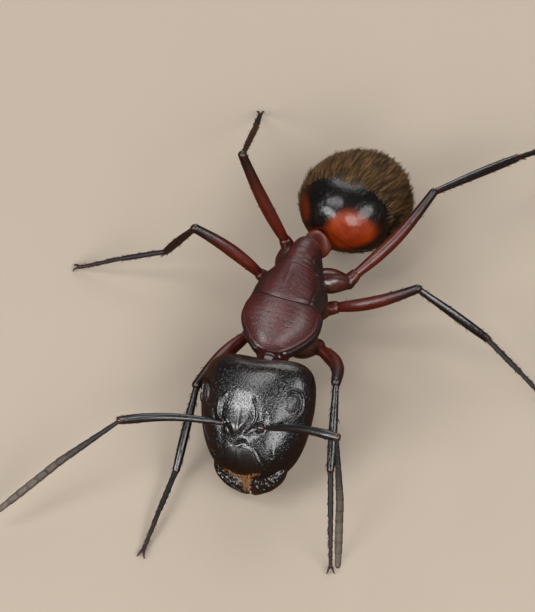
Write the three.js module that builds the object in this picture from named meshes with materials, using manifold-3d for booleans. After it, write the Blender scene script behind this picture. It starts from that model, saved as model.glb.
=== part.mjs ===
// Carpenter ant, a major worker, standing on the floor with its head low and its feelers spread.
// Millimetres, +Z up. The head points towards -Y and the ant's left side towards +X. The soles
// lie on z = 0, and the origin is the middle of the ant's outline as seen from above.

import * as THREE from 'three';
import { mergeVertices } from 'three/addons/utils/BufferGeometryUtils.js';
import Module from 'manifold-3d';

const wasm = await Module();
wasm.setup();

// ---------- driving sizes: millimetres and degrees ----------

const GAP = 0.03; // between neighbouring plates and limb lengths
const OUTLINE_MIDDLE = [0.7, 0.3]; // seen from above, measured from the middle of the trunk

const TRUNK = {
  middle: [-0.06, 0, 2.6],
  yaw: -2.5, // front towards the ant's right
  pitch: 8, // rear raised
  halfLength: 2.12,
  halfWidth: 0.55, // at the rear, before the two swellings
  shoulder: { at: -0.95, reach: 0.95, swell: 0.68 },
  flank: { at: 0.35, reach: 0.75, swell: 0.28 },
  belly: { at: 0.6, reach: 1.0, swell: 0.28 }, // fuller low on the sides, as a share of the width
  rise: 1.0,
  depth: 0.95,
  bluntness: 0.5,
  sutures: [
    { at: -0.55, slant: 20 }, // pronotum from mesonotum, leaning forwards and down
    { at: 0.78, slant: 0 }, // mesonotum from propodeum
  ],
};

const PLATE_MIDDLES = [-1.2, 0.2, 1.4]; // pronotum, mesonotum and propodeum

const HEAD = {
  middle: [0.08, -4.22, 2.0],
  yaw: 7.5, // mandibles towards the ant's left
  pitch: 36, // mandibles lowered
  roll: -20, // face turned towards the ant's right
  halfWidth: 1.86,
  halfLength: 1.91,
  rise: 1.12,
  depth: 1.1,
  taper: 0.29, // loss of width towards the mandibles
  rearBluntness: 0.46, // 1 is a plain egg, and less is squarer
  frontBluntness: 0.6,
  notch: 0.15, // hollow in the back edge
};

const CLYPEUS = { rearY: -0.82, rearHalfWidth: 0.42, frontHalfWidth: 0.78, bottomZ: 0.05 };
const MANDIBLE = { middle: [0.56, -1.78, -0.18], half: [0.62, 0.62, 0.34], turn: 34, midGap: 0.02 };
const EYE = { middle: [1.36, 0.48, 0.6], half: [0.25, 0.36, 0.2], lean: 42 };
const SOCKET = [0.62, -0.25, 0.88]; // where a feeler leaves the head

const NECK = { rear: [0.08, -1.9, -0.14], front: [0.06, 1.45, -0.42], radii: [0.4, 0.33] };

const PETIOLE = { middle: [0.2, 2.4, 2.42], yaw: -15, half: [0.5, 0.21, 0.58], stemRadius: 0.26 };

const GASTER = {
  middle: [0.84, 4.59, 2.06],
  yaw: -15, // tip towards the ant's left
  droop: 25,
  halfLength: 2.0,
  halfWidth: 1.63,
  rise: 1.48,
  depth: 1.5,
  pinch: 0.22, // loss of width towards the tip
  edges: [-0.27, 0.7, 1.32, 1.73], // where one belt ends and the next begins
};

// A limb direction is a heading from straight out sideways, positive towards the rear, and a
// climb above the level. The tarsus has only a heading, because its tip is on the floor.
const LEG_LENGTHS = {
  front: { coxa: 1.0, femur: 3.0, tibia: 2.72, tarsus: 3.0 },
  middle: { coxa: 0.87, femur: 3.1, tibia: 2.85, tarsus: 3.1 },
  hind: { coxa: 1.0, femur: 3.9, tibia: 3.7, tarsus: 4.0 },
};
const HIPS = { front: [0.55, -1.4, -0.35], middle: [0.6, 0.1, -0.6], hind: [0.5, 1.2, -0.7] };
const LEG_POSES = {
  front_left: { coxa: [38, -30], femur: [-62, 33], tibia: [-78, -25], tarsus: -74 },
  front_right: { coxa: [60, -42], femur: [-70, 9], tibia: [-90, -31], tarsus: -86 },
  middle_left: { coxa: [50, -40], femur: [14, 24], tibia: [-3, -35], tarsus: -28 },
  middle_right: { coxa: [64, -10], femur: [-3, 41], tibia: [27, -62], tarsus: -10 },
  hind_left: { coxa: [20, -14], femur: [57, 24], tibia: [55, -18], tarsus: 62 },
  hind_right: { coxa: [78, -7], femur: [21, 62], tibia: [82, -39], tarsus: 77 },
};
// Radii along each length, from its root to its end
const LIMB_RADII = {
  coxa: [0.4, 0.38, 0.28],
  trochanter: [0.24, 0.26],
  femur: [0.24, 0.26, 0.28, 0.27, 0.26],
  tibia: [0.25, 0.25, 0.26, 0.26],
  tarsus: [0.25, 0.25, 0.25],
};
const LIMB_SIDES = 8;
const TROCHANTER_LENGTH = 0.3;
const SOLE_CUT = 0.2; // height of the tarsus's axis over its sole

const FEELER_POSES = {
  left: { scape: [-12, 27], funiculus: [[-72, -2], [-76, -3]] },
  right: { scape: [-15, 1], funiculus: [[-45, -19], [-49, -21]] },
};
const SCAPE = { length: 3.05, radii: [0.25, 0.25, 0.26, 0.27] };
const FUNICULUS = { lengths: [2.25, 2.3], radii: [0.25, 0.25, 0.25] };

const CUTICLE = {
  black: { color: '#15120f', roughness: 0.32 },
  maroon: { color: '#5a2c30', roughness: 0.38 },
  redBrown: { color: '#5b1f12', roughness: 0.36 },
  darkBrown: { color: '#241a18', roughness: 0.4 },
  gasterBlack: { color: '#1b1512', roughness: 0.35 },
  eye: { color: '#2a2620', roughness: 0.22 },
};

// ---------- solids ----------

const rad = THREE.MathUtils.degToRad;
const power = (value, exponent) => Math.sign(value) * Math.abs(value) ** exponent;
const bell = (value, middle, reach) => Math.exp(-(((value - middle) / reach) ** 2));
const ramp = (value, from, to) => THREE.MathUtils.clamp((value - from) / (to - from), 0, 1);

function toSolid(geometry) {
  const bare = geometry.clone();
  bare.deleteAttribute('normal');
  bare.deleteAttribute('uv');
  const merged = mergeVertices(bare, 1e-5);
  const triangles = [];
  const index = merged.index.array;
  for (let i = 0; i < index.length; i += 3) {
    const [a, b, c] = [index[i], index[i + 1], index[i + 2]];
    if (a !== b && b !== c && c !== a) {
      triangles.push(a, b, c);
    }
  }
  return new wasm.Manifold(
    new wasm.Mesh({
      numProp: 3,
      vertProperties: new Float32Array(merged.attributes.position.array),
      triVerts: new Uint32Array(triangles),
    }),
  );
}

function toGeometry(solid) {
  const mesh = solid.getMesh();
  const geometry = new THREE.BufferGeometry();
  geometry.setAttribute('position', new THREE.BufferAttribute(mesh.vertProperties, 3));
  geometry.setIndex(new THREE.BufferAttribute(mesh.triVerts, 1));
  return geometry;
}

// How far an outline has narrowed at a fraction of its half length: an ellipse for a bluntness
// of 1, and a squarer end for less
function girth(along, bluntness) {
  return Math.max(0, 1 - Math.abs(along) ** (2 / bluntness)) ** (bluntness / 2);
}

// A ball whose poles lie fore and aft, reshaped point by point. `shape` is given the fraction of
// the half length (+1 at the rear) and the two cosines of the ring, and returns the place.
function shapedBall(rounds, rows, shape, matrix) {
  const ball = new THREE.SphereGeometry(1, rounds, rows);
  const place = ball.attributes.position;
  const point = new THREE.Vector3();
  for (let i = 0; i < place.count; i += 1) {
    point.fromBufferAttribute(place, i);
    const ring = Math.hypot(point.x, point.z);
    const atPole = ring < 1e-6;
    const side = atPole ? 0 : point.x / ring;
    const up = atPole ? 0 : point.z / ring;
    point.set(...shape(point.y, side, up)).applyMatrix4(matrix);
    place.setXYZ(i, point.x, point.y, point.z);
  }
  return toSolid(ball);
}

// Half sizes across, along and up
function egg([across, length, up], bluntness, grow = 0) {
  return (along, side, rise) => {
    const ring = girth(along, bluntness);
    return [(across + grow) * ring * side, (length + grow) * along, (up + grow) * ring * rise];
  };
}

// A round limb between two points, its radii spread evenly, with a rounded root and a ball end
function limb(from, to, radii, sides, grow = 0) {
  const length = from.distanceTo(to);
  const profile = [new THREE.Vector2(0, -0.6 * radii[0] - grow)];
  profile.push(new THREE.Vector2(0.8 * (radii[0] + grow), -0.4 * radii[0] - grow));
  radii.forEach((radius, i) => {
    profile.push(new THREE.Vector2(radius + grow, (length * i) / (radii.length - 1)));
  });
  const end = radii[radii.length - 1] + grow;
  profile.push(new THREE.Vector2(0.75 * end, length + 0.75 * end));
  profile.push(new THREE.Vector2(0, length + end));
  const lathe = new THREE.LatheGeometry(profile, sides);
  const direction = to.clone().sub(from).normalize();
  const up = new THREE.Vector3(0, 1, 0);
  lathe.applyQuaternion(new THREE.Quaternion().setFromUnitVectors(up, direction));
  lathe.translate(from.x, from.y, from.z);
  return toSolid(lathe);
}

function frameAt(middle, yaw, pitch, roll) {
  const turn = new THREE.Matrix4().makeRotationZ(rad(yaw));
  turn.multiply(new THREE.Matrix4().makeRotationX(rad(pitch)));
  turn.multiply(new THREE.Matrix4().makeRotationY(rad(roll)));
  return new THREE.Matrix4().makeTranslation(...middle).multiply(turn);
}

function heading(side, [bearing, climb]) {
  return new THREE.Vector3(
    side * Math.cos(rad(bearing)) * Math.cos(rad(climb)),
    Math.sin(rad(bearing)) * Math.cos(rad(climb)),
    Math.sin(rad(climb)),
  );
}

// Cuts one body into slices, a gap apart, at planes that cross its back at the given places
function slices(solid, frame, cuts, backHeight) {
  const pieces = [];
  let rest = solid;
  for (const { at, slant } of cuts) {
    const normal = new THREE.Vector3(0, Math.cos(rad(slant)), -Math.sin(rad(slant)));
    normal.transformDirection(frame);
    const offset = new THREE.Vector3(0, at, backHeight).applyMatrix4(frame).dot(normal);
    pieces.push(rest.trimByPlane(normal.clone().negate().toArray(), GAP / 2 - offset));
    rest = rest.trimByPlane(normal.toArray(), offset + GAP / 2);
  }
  return [...pieces, rest];
}

// ---------- the ant ----------

const ant = new THREE.Group();
const body = new THREE.Group();
body.position.set(-OUTLINE_MIDDLE[0], -OUTLINE_MIDDLE[1], 0);
ant.add(body);

// Every sub-part is a mesh of its own that turns about the joint it hangs from
function addPart(name, solid, joint, cuticle) {
  const geometry = toGeometry(solid);
  geometry.translate(-joint.x, -joint.y, -joint.z);
  geometry.computeVertexNormals();
  const material = new THREE.MeshStandardMaterial({ ...CUTICLE[cuticle], metalness: 0 });
  const mesh = new THREE.Mesh(geometry, material);
  mesh.name = name;
  mesh.position.copy(joint);
  body.add(mesh);
}

const trunkFrame = frameAt(TRUNK.middle, TRUNK.yaw, TRUNK.pitch, 0);
const headFrame = frameAt(HEAD.middle, HEAD.yaw, HEAD.pitch, HEAD.roll);
const gasterFrame = frameAt(GASTER.middle, GASTER.yaw, -GASTER.droop, 0);
function inFrame(frame, [across, along, up], side) {
  return new THREE.Vector3(side * across, along, up).applyMatrix4(frame);
}
const onTrunk = (place, side = 1) => inFrame(trunkFrame, place, side);
const onHead = (place, side = 1) => inFrame(headFrame, place, side);

// Trunk: blunt at both ends, swollen at the shoulders, with a roof that narrows towards the rear
function trunkShape(grow) {
  return (along, side, up) => {
    const y = (TRUNK.halfLength + grow) * along;
    const ring = girth(along, TRUNK.bluntness);
    const { shoulder, flank, belly } = TRUNK;
    const width = TRUNK.halfWidth + grow
      + shoulder.swell * bell(y, shoulder.at, shoulder.reach)
      + flank.swell * bell(y, flank.at, flank.reach);
    const height = up > 0 ? TRUNK.rise - 0.09 * y * y : TRUNK.depth - 0.1 * y * y;
    const z = (height + grow) * ring * power(up, 0.9);
    const roof = 1 - (0.08 + 0.12 * ramp(y, 0, 1.5)) * ramp(z, 0, 0.9);
    const low = 1 + belly.swell * bell(y, belly.at, belly.reach) * bell(z, -0.35, 0.5);
    return [width * ring * power(side, 0.9) * roof * low, y, z];
  };
}

function buildTrunk() {
  const whole = shapedBall(20, 14, trunkShape(0), trunkFrame);
  const pieces = slices(whole, trunkFrame, TRUNK.sutures, TRUNK.rise);
  ['pronotum', 'mesonotum', 'propodeum'].forEach((name, i) => {
    addPart(name, pieces[i], onTrunk([0, PLATE_MIDDLES[i], 0]), 'maroon');
  });
  return shapedBall(20, 14, trunkShape(GAP), trunkFrame);
}

// Head: a broad heart, widest behind the eyes, hollowed at the back edge and sloping at the front
function headShape(grow) {
  return (along, side, up) => {
    const ring = girth(along, along > 0 ? HEAD.rearBluntness : HEAD.frontBluntness);
    const flat = (HEAD.halfLength + grow) * along;
    const front = ramp(flat, 0.5, -1.8);
    const width = (HEAD.halfWidth + grow) * (1 - HEAD.taper * front ** 1.5);
    const x = width * ring * power(side, 0.9);
    const height = (up > 0 ? HEAD.rise : HEAD.depth) + grow;
    const z = height * ring * power(up, 0.95) - 0.15 * front * front;
    return [x, flat - HEAD.notch * bell(x, 0, 0.8) * ramp(flat, 1, 1.8), z];
  };
}

function buildHead() {
  let skull = shapedBall(24, 16, headShape(0), headFrame);
  const grownSkull = shapedBall(24, 16, headShape(GAP), headFrame);
  const clypeusBlock = (grow) => {
    const outline = new THREE.Shape();
    outline.moveTo(-CLYPEUS.rearHalfWidth - grow, CLYPEUS.rearY + grow);
    outline.lineTo(CLYPEUS.rearHalfWidth + grow, CLYPEUS.rearY + grow);
    outline.lineTo(CLYPEUS.frontHalfWidth + grow, -HEAD.halfLength - 0.5);
    outline.lineTo(-CLYPEUS.frontHalfWidth - grow, -HEAD.halfLength - 0.5);
    const block = new THREE.ExtrudeGeometry(outline, { depth: 3, bevelEnabled: false });
    block.translate(0, 0, CLYPEUS.bottomZ - grow);
    return toSolid(block.applyMatrix4(headFrame));
  };
  addPart('clypeus', skull.intersect(clypeusBlock(0)), onHead([0, -1.4, 0.3]), 'black');
  skull = skull.subtract(clypeusBlock(GAP));

  for (const [name, side] of [['left', 1], ['right', -1]]) {
    const eye = (grow) => {
      const eyeFrame = headFrame.clone().multiply(
        frameAt([side * EYE.middle[0], EYE.middle[1], EYE.middle[2]], side * -8, 0, side * EYE.lean),
      );
      return shapedBall(12, 8, egg(EYE.half, 1, grow), eyeFrame);
    };
    addPart(`eye_${name}`, eye(0), onHead(EYE.middle, side), 'eye');
    skull = skull.subtract(eye(GAP));

    const [out, along, up] = MANDIBLE.middle;
    const mandibleFrame = headFrame.clone().multiply(
      frameAt([side * out, along, up], side * -MANDIBLE.turn, 0, 0),
    );
    const blade = shapedBall(14, 8, egg(MANDIBLE.half, 0.8), mandibleFrame);
    const inward = new THREE.Vector3(side, 0, 0).transformDirection(headFrame);
    const offset = onHead([0, 0, 0]).dot(inward) + MANDIBLE.midGap;
    const mandible = blade.subtract(grownSkull).trimByPlane(inward.toArray(), offset);
    addPart(`mandible_${name}`, mandible, onHead([0.8, -1.5, -0.2], side), 'black');
  }
  addPart('head', skull, onHead([0, 1.5, 0]), 'black');
  return grownSkull;
}

function buildNeck(grownTrunk, grownSkull) {
  const neck = limb(onTrunk(NECK.rear), onHead(NECK.front), NECK.radii, 10);
  addPart('neck', neck.subtract(grownTrunk).subtract(grownSkull), onTrunk(NECK.rear), 'maroon');
}

// Feeler: a long scape out of its socket and a whip of two lengths
function buildFeeler(name, side, grownSkull) {
  const pose = FEELER_POSES[name];
  let start = onHead(SOCKET, side);
  let end = start.clone().addScaledVector(heading(side, pose.scape), SCAPE.length);
  const scape = limb(start, end, SCAPE.radii, LIMB_SIDES).subtract(grownSkull);
  addPart(`scape_${name}`, scape, start, 'darkBrown');
  let grown = limb(start, end, SCAPE.radii, LIMB_SIDES, GAP);
  pose.funiculus.forEach((direction, i) => {
    start = end;
    end = start.clone().addScaledVector(heading(side, direction), FUNICULUS.lengths[i]);
    const length = limb(start, end, FUNICULUS.radii, LIMB_SIDES).subtract(grown);
    addPart(`funiculus_${name}_${i + 1}`, length, start, 'darkBrown');
    grown = limb(start, end, FUNICULUS.radii, LIMB_SIDES, GAP);
  });
}

// Petiole: an upright scale on a short stem, between the propodeum and the gaster
function petioleSolid(grow) {
  const frame = frameAt(PETIOLE.middle, PETIOLE.yaw, -4, 0);
  const scale = shapedBall(14, 8, egg(PETIOLE.half, 0.7, grow), frame);
  const rear = new THREE.Vector3(0, 0.7, -0.3).applyMatrix4(frame);
  const front = new THREE.Vector3(0, -0.6, -0.25).applyMatrix4(frame);
  const stem = limb(front, rear, [PETIOLE.stemRadius, PETIOLE.stemRadius], 8, grow);
  return scale.add(stem);
}

// Gaster: an egg of five belts
function gasterShape(along, side, up) {
  const ring = girth(along, 0.85);
  const width = GASTER.halfWidth * (1 - GASTER.pinch * Math.max(0, along) ** 2);
  const height = up > 0 ? GASTER.rise : GASTER.depth;
  return [width * ring * side, GASTER.halfLength * along, height * ring * up];
}

function buildRear(grownTrunk) {
  const gaster = shapedBall(20, 16, gasterShape, gasterFrame);
  const cuts = GASTER.edges.map((at) => ({ at, slant: 0 }));
  const pieces = slices(gaster, gasterFrame, cuts, 0);
  const petiole = petioleSolid(0).subtract(grownTrunk);
  const joint = new THREE.Vector3(...PETIOLE.middle);
  addPart('petiole', petiole, joint, 'redBrown');
  pieces[0] = pieces[0].subtract(petioleSolid(GAP));
  pieces.forEach((piece, i) => {
    const at = i === 0 ? -GASTER.halfLength : GASTER.edges[i - 1];
    const pivot = new THREE.Vector3(0, at, 0).applyMatrix4(gasterFrame);
    addPart(`gaster_${i + 1}`, piece, pivot, 'gasterBlack');
  });
}

// Leg: coxa, trochanter, femur, tibia and tarsus, each hollowed where it meets the one before
function buildLeg(pair, name, side, grownTrunk) {
  const pose = LEG_POSES[`${pair}_${name}`];
  const lengths = LEG_LENGTHS[pair];
  const points = { root: onTrunk(HIPS[pair], side) };
  points.hip = points.root.clone().addScaledVector(heading(side, pose.coxa), lengths.coxa);
  const femurWay = heading(side, pose.femur);
  points.femur = points.hip.clone().addScaledVector(femurWay, TROCHANTER_LENGTH);
  points.knee = points.hip.clone().addScaledVector(femurWay, lengths.femur);
  points.ankle = points.knee.clone().addScaledVector(heading(side, pose.tibia), lengths.tibia);
  const drop = THREE.MathUtils.radToDeg(Math.asin((points.ankle.z - SOLE_CUT) / lengths.tarsus));
  const tarsusWay = heading(side, [pose.tarsus, -drop]);
  points.sole = points.ankle.clone().addScaledVector(tarsusWay, lengths.tarsus);

  const run = [
    ['coxa', points.root, points.hip, 'redBrown'],
    ['trochanter', points.hip, points.femur, 'redBrown'],
    ['femur', points.femur, points.knee, 'redBrown'],
    ['tibia', points.knee, points.ankle, 'darkBrown'],
    ['tarsus', points.ankle, points.sole, 'darkBrown'],
  ];
  let before = grownTrunk;
  for (const [part, from, to, cuticle] of run) {
    const solid = limb(from, to, LIMB_RADII[part], LIMB_SIDES).subtract(before).trimByPlane([0, 0, 1], 0);
    addPart(`${part}_${pair}_${name}`, solid, from, cuticle);
    before = before.add(limb(from, to, LIMB_RADII[part], LIMB_SIDES, GAP));
  }
}

const grownTrunk = buildTrunk();
const grownSkull = buildHead();
buildNeck(grownTrunk, grownSkull);
buildRear(grownTrunk);
for (const [name, side] of [['left', 1], ['right', -1]]) {
  buildFeeler(name, side, grownSkull);
  for (const pair of ['front', 'middle', 'hind']) {
    buildLeg(pair, name, side, grownTrunk);
  }
}

export default ant;
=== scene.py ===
import math
import bpy
import numpy as np
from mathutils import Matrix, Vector


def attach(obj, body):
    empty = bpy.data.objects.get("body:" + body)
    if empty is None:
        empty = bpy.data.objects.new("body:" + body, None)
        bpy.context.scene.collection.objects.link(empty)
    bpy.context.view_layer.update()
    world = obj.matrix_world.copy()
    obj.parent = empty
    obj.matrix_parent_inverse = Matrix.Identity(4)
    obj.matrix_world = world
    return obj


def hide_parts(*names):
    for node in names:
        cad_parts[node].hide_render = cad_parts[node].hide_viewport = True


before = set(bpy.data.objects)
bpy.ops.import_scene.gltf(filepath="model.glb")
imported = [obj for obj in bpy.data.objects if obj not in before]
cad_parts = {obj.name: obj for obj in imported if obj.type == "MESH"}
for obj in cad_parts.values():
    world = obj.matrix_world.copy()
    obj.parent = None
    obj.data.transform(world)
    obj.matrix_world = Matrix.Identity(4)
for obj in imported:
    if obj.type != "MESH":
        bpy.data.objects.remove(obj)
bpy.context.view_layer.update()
print("frame loaded,", len(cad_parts), "nodes")

# Everything is worked out in millimetres from the middle of the trunk, as in the CAD,
# then moved to the outline's middle and written into the meshes in metres.
metre = 0.001
outlineMiddle = np.array([0.7, 0.3, 0.0])
sides = {"left": 1, "right": -1}
chance = np.random.default_rng(11)


def ramp(value, start, end):  # 0 at start and 1 at end, straight between them
    return np.clip((value - start) / (end - start), 0, 1)


def ease(value, start, end):  # the ramp t with soft ends: t * t * (3 - 2 t)
    t = ramp(value, start, end)
    return t * t * (3 - 2 * t)


def bell(value, middle, reach):  # exp of minus the square of (value - middle) / reach
    return np.exp(-(((value - middle) / reach) ** 2))


def power(value, exponent):  # the size is raised, the sign is kept
    return np.sign(value) * np.abs(value) ** exponent


def girth(along, bluntness):  # an ellipse for 1, squarer for less
    return np.maximum(0, 1 - np.abs(along) ** (2 / bluntness)) ** (bluntness / 2)


def unit(vectors):  # each vector divided by its own length
    return vectors / np.maximum(np.linalg.norm(vectors, axis=-1, keepdims=True), 1e-12)


def together(x, y, z):
    # points from three coordinates, each repeated to the shape that all of them share
    return np.stack(np.broadcast_arrays(x, y, z), -1)


def evenAngles(columns):  # a full turn in even steps, without the last one, which is the first
    return np.arange(columns) / columns * 2 * np.pi


def endToEnd(rows, start=0.03):
    # rows from just over -1 to just under 1, minus the cosine of even steps, so close at both ends
    return -np.cos(np.linspace(start, math.pi - start, rows))


def curveThrough(t, values):
    # a Catmull-Rom curve through evenly spaced values, read at t from 0 to 1
    values = np.asarray(values, float)
    before, after = 2 * values[0] - values[1], 2 * values[-1] - values[-2]
    spread = np.concatenate([[before], values, [after]])
    place = np.clip(t, 0, 1) * (len(values) - 1)
    i = np.minimum(place.astype(int), len(values) - 2)
    f = (place - i).reshape(place.shape + (1,) * (values.ndim - 1))
    a, b, c, d = spread[i], spread[i + 1], spread[i + 2], spread[i + 3]
    return b + 0.5 * f * (c - a + f * (2 * a - 5 * b + 4 * c - d + f * (3 * (b - c) + d - a)))


def placeAt(middle, yaw=0, pitch=0, roll=0):
    # a turn about Z times one about X times one about Y, and the point that it stands on
    turn = np.eye(3)
    for first, second, degrees in ((0, 1, yaw), (1, 2, pitch), (2, 0, roll)):
        c, s = math.cos(math.radians(degrees)), math.sin(math.radians(degrees))
        step = np.eye(3)
        step[first, first] = step[second, second] = c
        step[first, second], step[second, first] = -s, s
        turn = turn @ step
    return turn, np.array(middle, float)


def placed(place, points):  # the place's turn times the point, plus the place's middle
    return np.asarray(points, float) @ place[0].T + place[1]


def within(outer, inner):  # a place given inside another place
    return outer[0] @ inner[0], placed(outer, inner[1])


def heading(side, bearing, climb):
    # straight out sideways turned towards the rear by the bearing, then raised by the climb
    b, c = math.radians(bearing), math.radians(climb)
    return np.array([side * math.cos(b) * math.cos(c), math.sin(b) * math.cos(c), math.sin(c)])


def closedSkin(rings, **marks):
    # rings of points joined by quads, with a fan to the middle of the first and of the last ring;
    # each mark is a value for every point, or one that rows, columns or all points share
    rows, columns = rings.shape[:2]
    i = np.arange(rows - 1)[:, None] * columns
    j = np.arange(columns)[None, :]
    k = (j + 1) % columns
    quads = np.stack([i + j, i + k, i + columns + k, i + columns + j], -1).reshape(-1, 4)
    first, last = (np.full(columns, rows * columns + end) for end in (0, 1))  # the two middles
    lastRing = (rows - 1) * columns
    fans = np.concatenate([
        np.stack([first, k[0], j[0]], -1), np.stack([last, lastRing + j[0], lastRing + k[0]], -1)])
    points = np.concatenate([rings.reshape(-1, 3), [rings[0].mean(0), rings[-1].mean(0)]])
    triangles = np.concatenate([quads[:, :3], quads[:, [0, 2, 3]], fans])
    a, b, c = (points[triangles[:, n]] - points.mean(0) for n in range(3))
    if (a * np.cross(b, c)).sum() < 0:  # six times the volume: below zero, the faces point inwards
        quads, fans = quads[:, ::-1], fans[:, ::-1]
    skin = {"points": points, "quads": quads, "fans": fans}
    for key, values in marks.items():
        values = np.broadcast_to(values, rings.shape[:2] + np.shape(values)[2:])
        flat = values.reshape((rows * columns,) + values.shape[2:])
        skin[key] = np.concatenate([flat, [values[0].mean(0), values[-1].mean(0)]])
    return skin


def joinSkins(skins):
    # one skin of several, where the faces of each count on from the points before it
    start = np.cumsum([0] + [len(skin["points"]) for skin in skins])
    joined = {}
    for key in skins[0]:
        shift = start if key in ("quads", "fans") else 0 * start
        joined[key] = np.concatenate([skin[key] + shift[n] for n, skin in enumerate(skins)])
    return joined


def makePiece(name, skin, material, slotName, *nodes):
    # a smooth mesh of the skin, with the skin's marks as fields of its points
    points, quads, fans = skin["points"], skin["quads"], skin["fans"]
    corners = np.concatenate([quads.ravel(), fans.ravel()]).astype(np.int32)
    starts = np.r_[np.arange(len(quads)) * 4, len(quads) * 4 + np.arange(len(fans)) * 3].astype(np.int32)
    mesh = bpy.data.meshes.new(name)
    mesh.vertices.add(len(points))
    mesh.vertices.foreach_set("co", ((points - outlineMiddle) * metre).astype(np.float32).ravel())
    mesh.loops.add(len(corners))
    mesh.loops.foreach_set("vertex_index", corners)
    mesh.polygons.add(len(starts))
    mesh.polygons.foreach_set("loop_start", starts)
    mesh.polygons.foreach_set("use_smooth", np.ones(len(starts), bool))
    mesh.update(calc_edges=True)
    mesh.validate()
    for key, values in skin.items():
        if key in ("points", "quads", "fans"):
            continue
        if key == "home":  # hair: every corner takes its point's place on the unwrapped skin
            layer = mesh.uv_layers.new(name="OFBake")
            layer.uv.foreach_set("vector", values[corners].astype(np.float32).ravel())
            continue
        kind, word = ("FLOAT_VECTOR", "vector") if values.ndim == 2 else ("FLOAT", "value")
        mesh.attributes.new(key, kind, "POINT").data.foreach_set(word, values.astype(np.float32).ravel())
    mesh.materials.append(material)
    piece = bpy.data.objects.new(name, mesh)
    bpy.context.scene.collection.objects.link(piece)
    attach(piece, "root")
    if nodes:
        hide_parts(*nodes)
    return piece


def gridNormals(rings):
    # the cross of the two steps of the grid, turned to point away from the middle of its ring
    around = np.roll(rings, -1, 1) - np.roll(rings, 1, 1)
    normals = unit(np.cross(around, np.gradient(rings, axis=0)))
    outward = ((rings - rings.mean(1, keepdims=True)) * normals).sum()
    return normals if outward > 0 else -normals


# The camera and the light: five oval lamps round the ant, a pale surround and a matt floor. Azimuth
# is counted from the ant's front towards its left, and sizes are in millimetres.
view = {
    "azimuth": 16, "elevation": 55, "distance": 150, "lens": 282.35, "sensor": 36,
    "nearest": 5, "farthest": 20000, "centre": (0, 0, 2.6), "aside": (0.74, 0.244),
}
lamps = {
    "leftLamp": {"azimuth": -42, "elevation": 31, "width": 150, "height": 130, "watts": 0.3},
    "highLamp": {"azimuth": -70, "elevation": 64, "width": 130, "height": 190, "watts": 0.16},
    "rightLamp": {"azimuth": 76, "elevation": 42, "width": 270, "height": 130, "watts": 0.26},
    "frontLamp": {"azimuth": 23, "elevation": 35, "width": 190, "height": 170, "watts": 0.3},
    "backLamp": {"azimuth": -172, "elevation": 32, "width": 260, "height": 260, "watts": 0.22},
}
lampDistance = 300
lampAim = np.array([0, 0, 2])
surround = {"colour": "#e8ebf0", "strength": 0.06}
ground = {"colour": "#dccbb8", "woodColour": "#5a3c28", "size": 4000}


def linear(hexColour):
    # sRGB hex to linear: c / 12.92 for dark values, ((c + 0.055) / 1.055) ^ 2.4 for the rest
    parts = [int(hexColour[n:n + 2], 16) / 255 for n in (1, 3, 5)]
    return tuple(c / 12.92 if c <= 0.04045 else ((c + 0.055) / 1.055) ** 2.4 for c in parts) + (1.0,)


def directionOf(thing):  # from the ant towards a thing with an azimuth and an elevation
    a, e = math.radians(thing["azimuth"]), math.radians(thing["elevation"])
    return np.array([math.sin(a) * math.cos(e), -math.cos(a) * math.cos(e), math.sin(e)])


def standAndLook(thing, spot, target):
    # puts a camera or lamp on its spot and turns its -Z to the target, both in millimetres
    thing.location = spot * metre
    thing.rotation_euler = Vector(target - spot).to_track_quat("-Z", "Y").to_euler()


scene = bpy.context.scene
cameraData = bpy.data.cameras.new("camera")
cameraData.lens, cameraData.sensor_width = view["lens"], view["sensor"]
cameraData.clip_start, cameraData.clip_end = view["nearest"] * metre, view["farthest"] * metre
camera = bpy.data.objects.new("camera", cameraData)
viewRight = np.array([math.cos(math.radians(view["azimuth"])), math.sin(math.radians(view["azimuth"])), 0])
viewUp = np.cross(directionOf(view), viewRight)
aim = np.array(view["centre"]) - outlineMiddle - view["aside"][0] * viewRight - view["aside"][1] * viewUp
standAndLook(camera, aim + directionOf(view) * view["distance"], aim)
scene.collection.objects.link(camera)
scene.camera = camera
scene.view_settings.view_transform = "Standard"

for lampName, lamp in lamps.items():
    lampData = bpy.data.lights.new(lampName, "AREA")
    lampData.shape, lampData.energy = "ELLIPSE", lamp["watts"]
    lampData.size, lampData.size_y = lamp["width"] * metre, lamp["height"] * metre
    lampObject = bpy.data.objects.new(lampName, lampData)
    standAndLook(lampObject, lampAim + directionOf(lamp) * lampDistance, lampAim)
    scene.collection.objects.link(lampObject)
print("camera and lamps placed")


def addNode(tree, kind, values={}):
    # a node and its values: an output, or a node that stands for its first output, is linked, and
    # anything else is what a socket, a field or the stops of a colour ramp are set to
    added = tree.nodes.new("ShaderNode" + kind)
    for key, value in values.items():
        if isinstance(value, (bpy.types.Node, bpy.types.NodeSocket)):
            output = value.outputs[0] if isinstance(value, bpy.types.Node) else value
            tree.links.new(output, added.inputs[key])
        elif key == "stops":
            elements = added.color_ramp.elements
            while len(elements) < len(value):
                elements.new(0.5)
            for element, (position, colour) in zip(elements, value):
                element.position, element.color = position, linear(colour)
        elif isinstance(key, int) or key in added.inputs:
            added.inputs[key].default_value = value
        else:
            setattr(added, key, value)
    return added


def newTree(owner):  # an empty node tree, for a material or the world
    owner.use_nodes = True
    owner.node_tree.nodes.clear()
    return owner.node_tree


def fieldsOf(tree, *names):  # what the points of a piece carry: "lie" is a vector, the rest are numbers
    fields = [addNode(tree, "Attribute", {"attribute_name": name}) for name in names]
    return [field.outputs["Vector" if name == "lie" else "Fac"] for name, field in zip(names, fields)]


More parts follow.
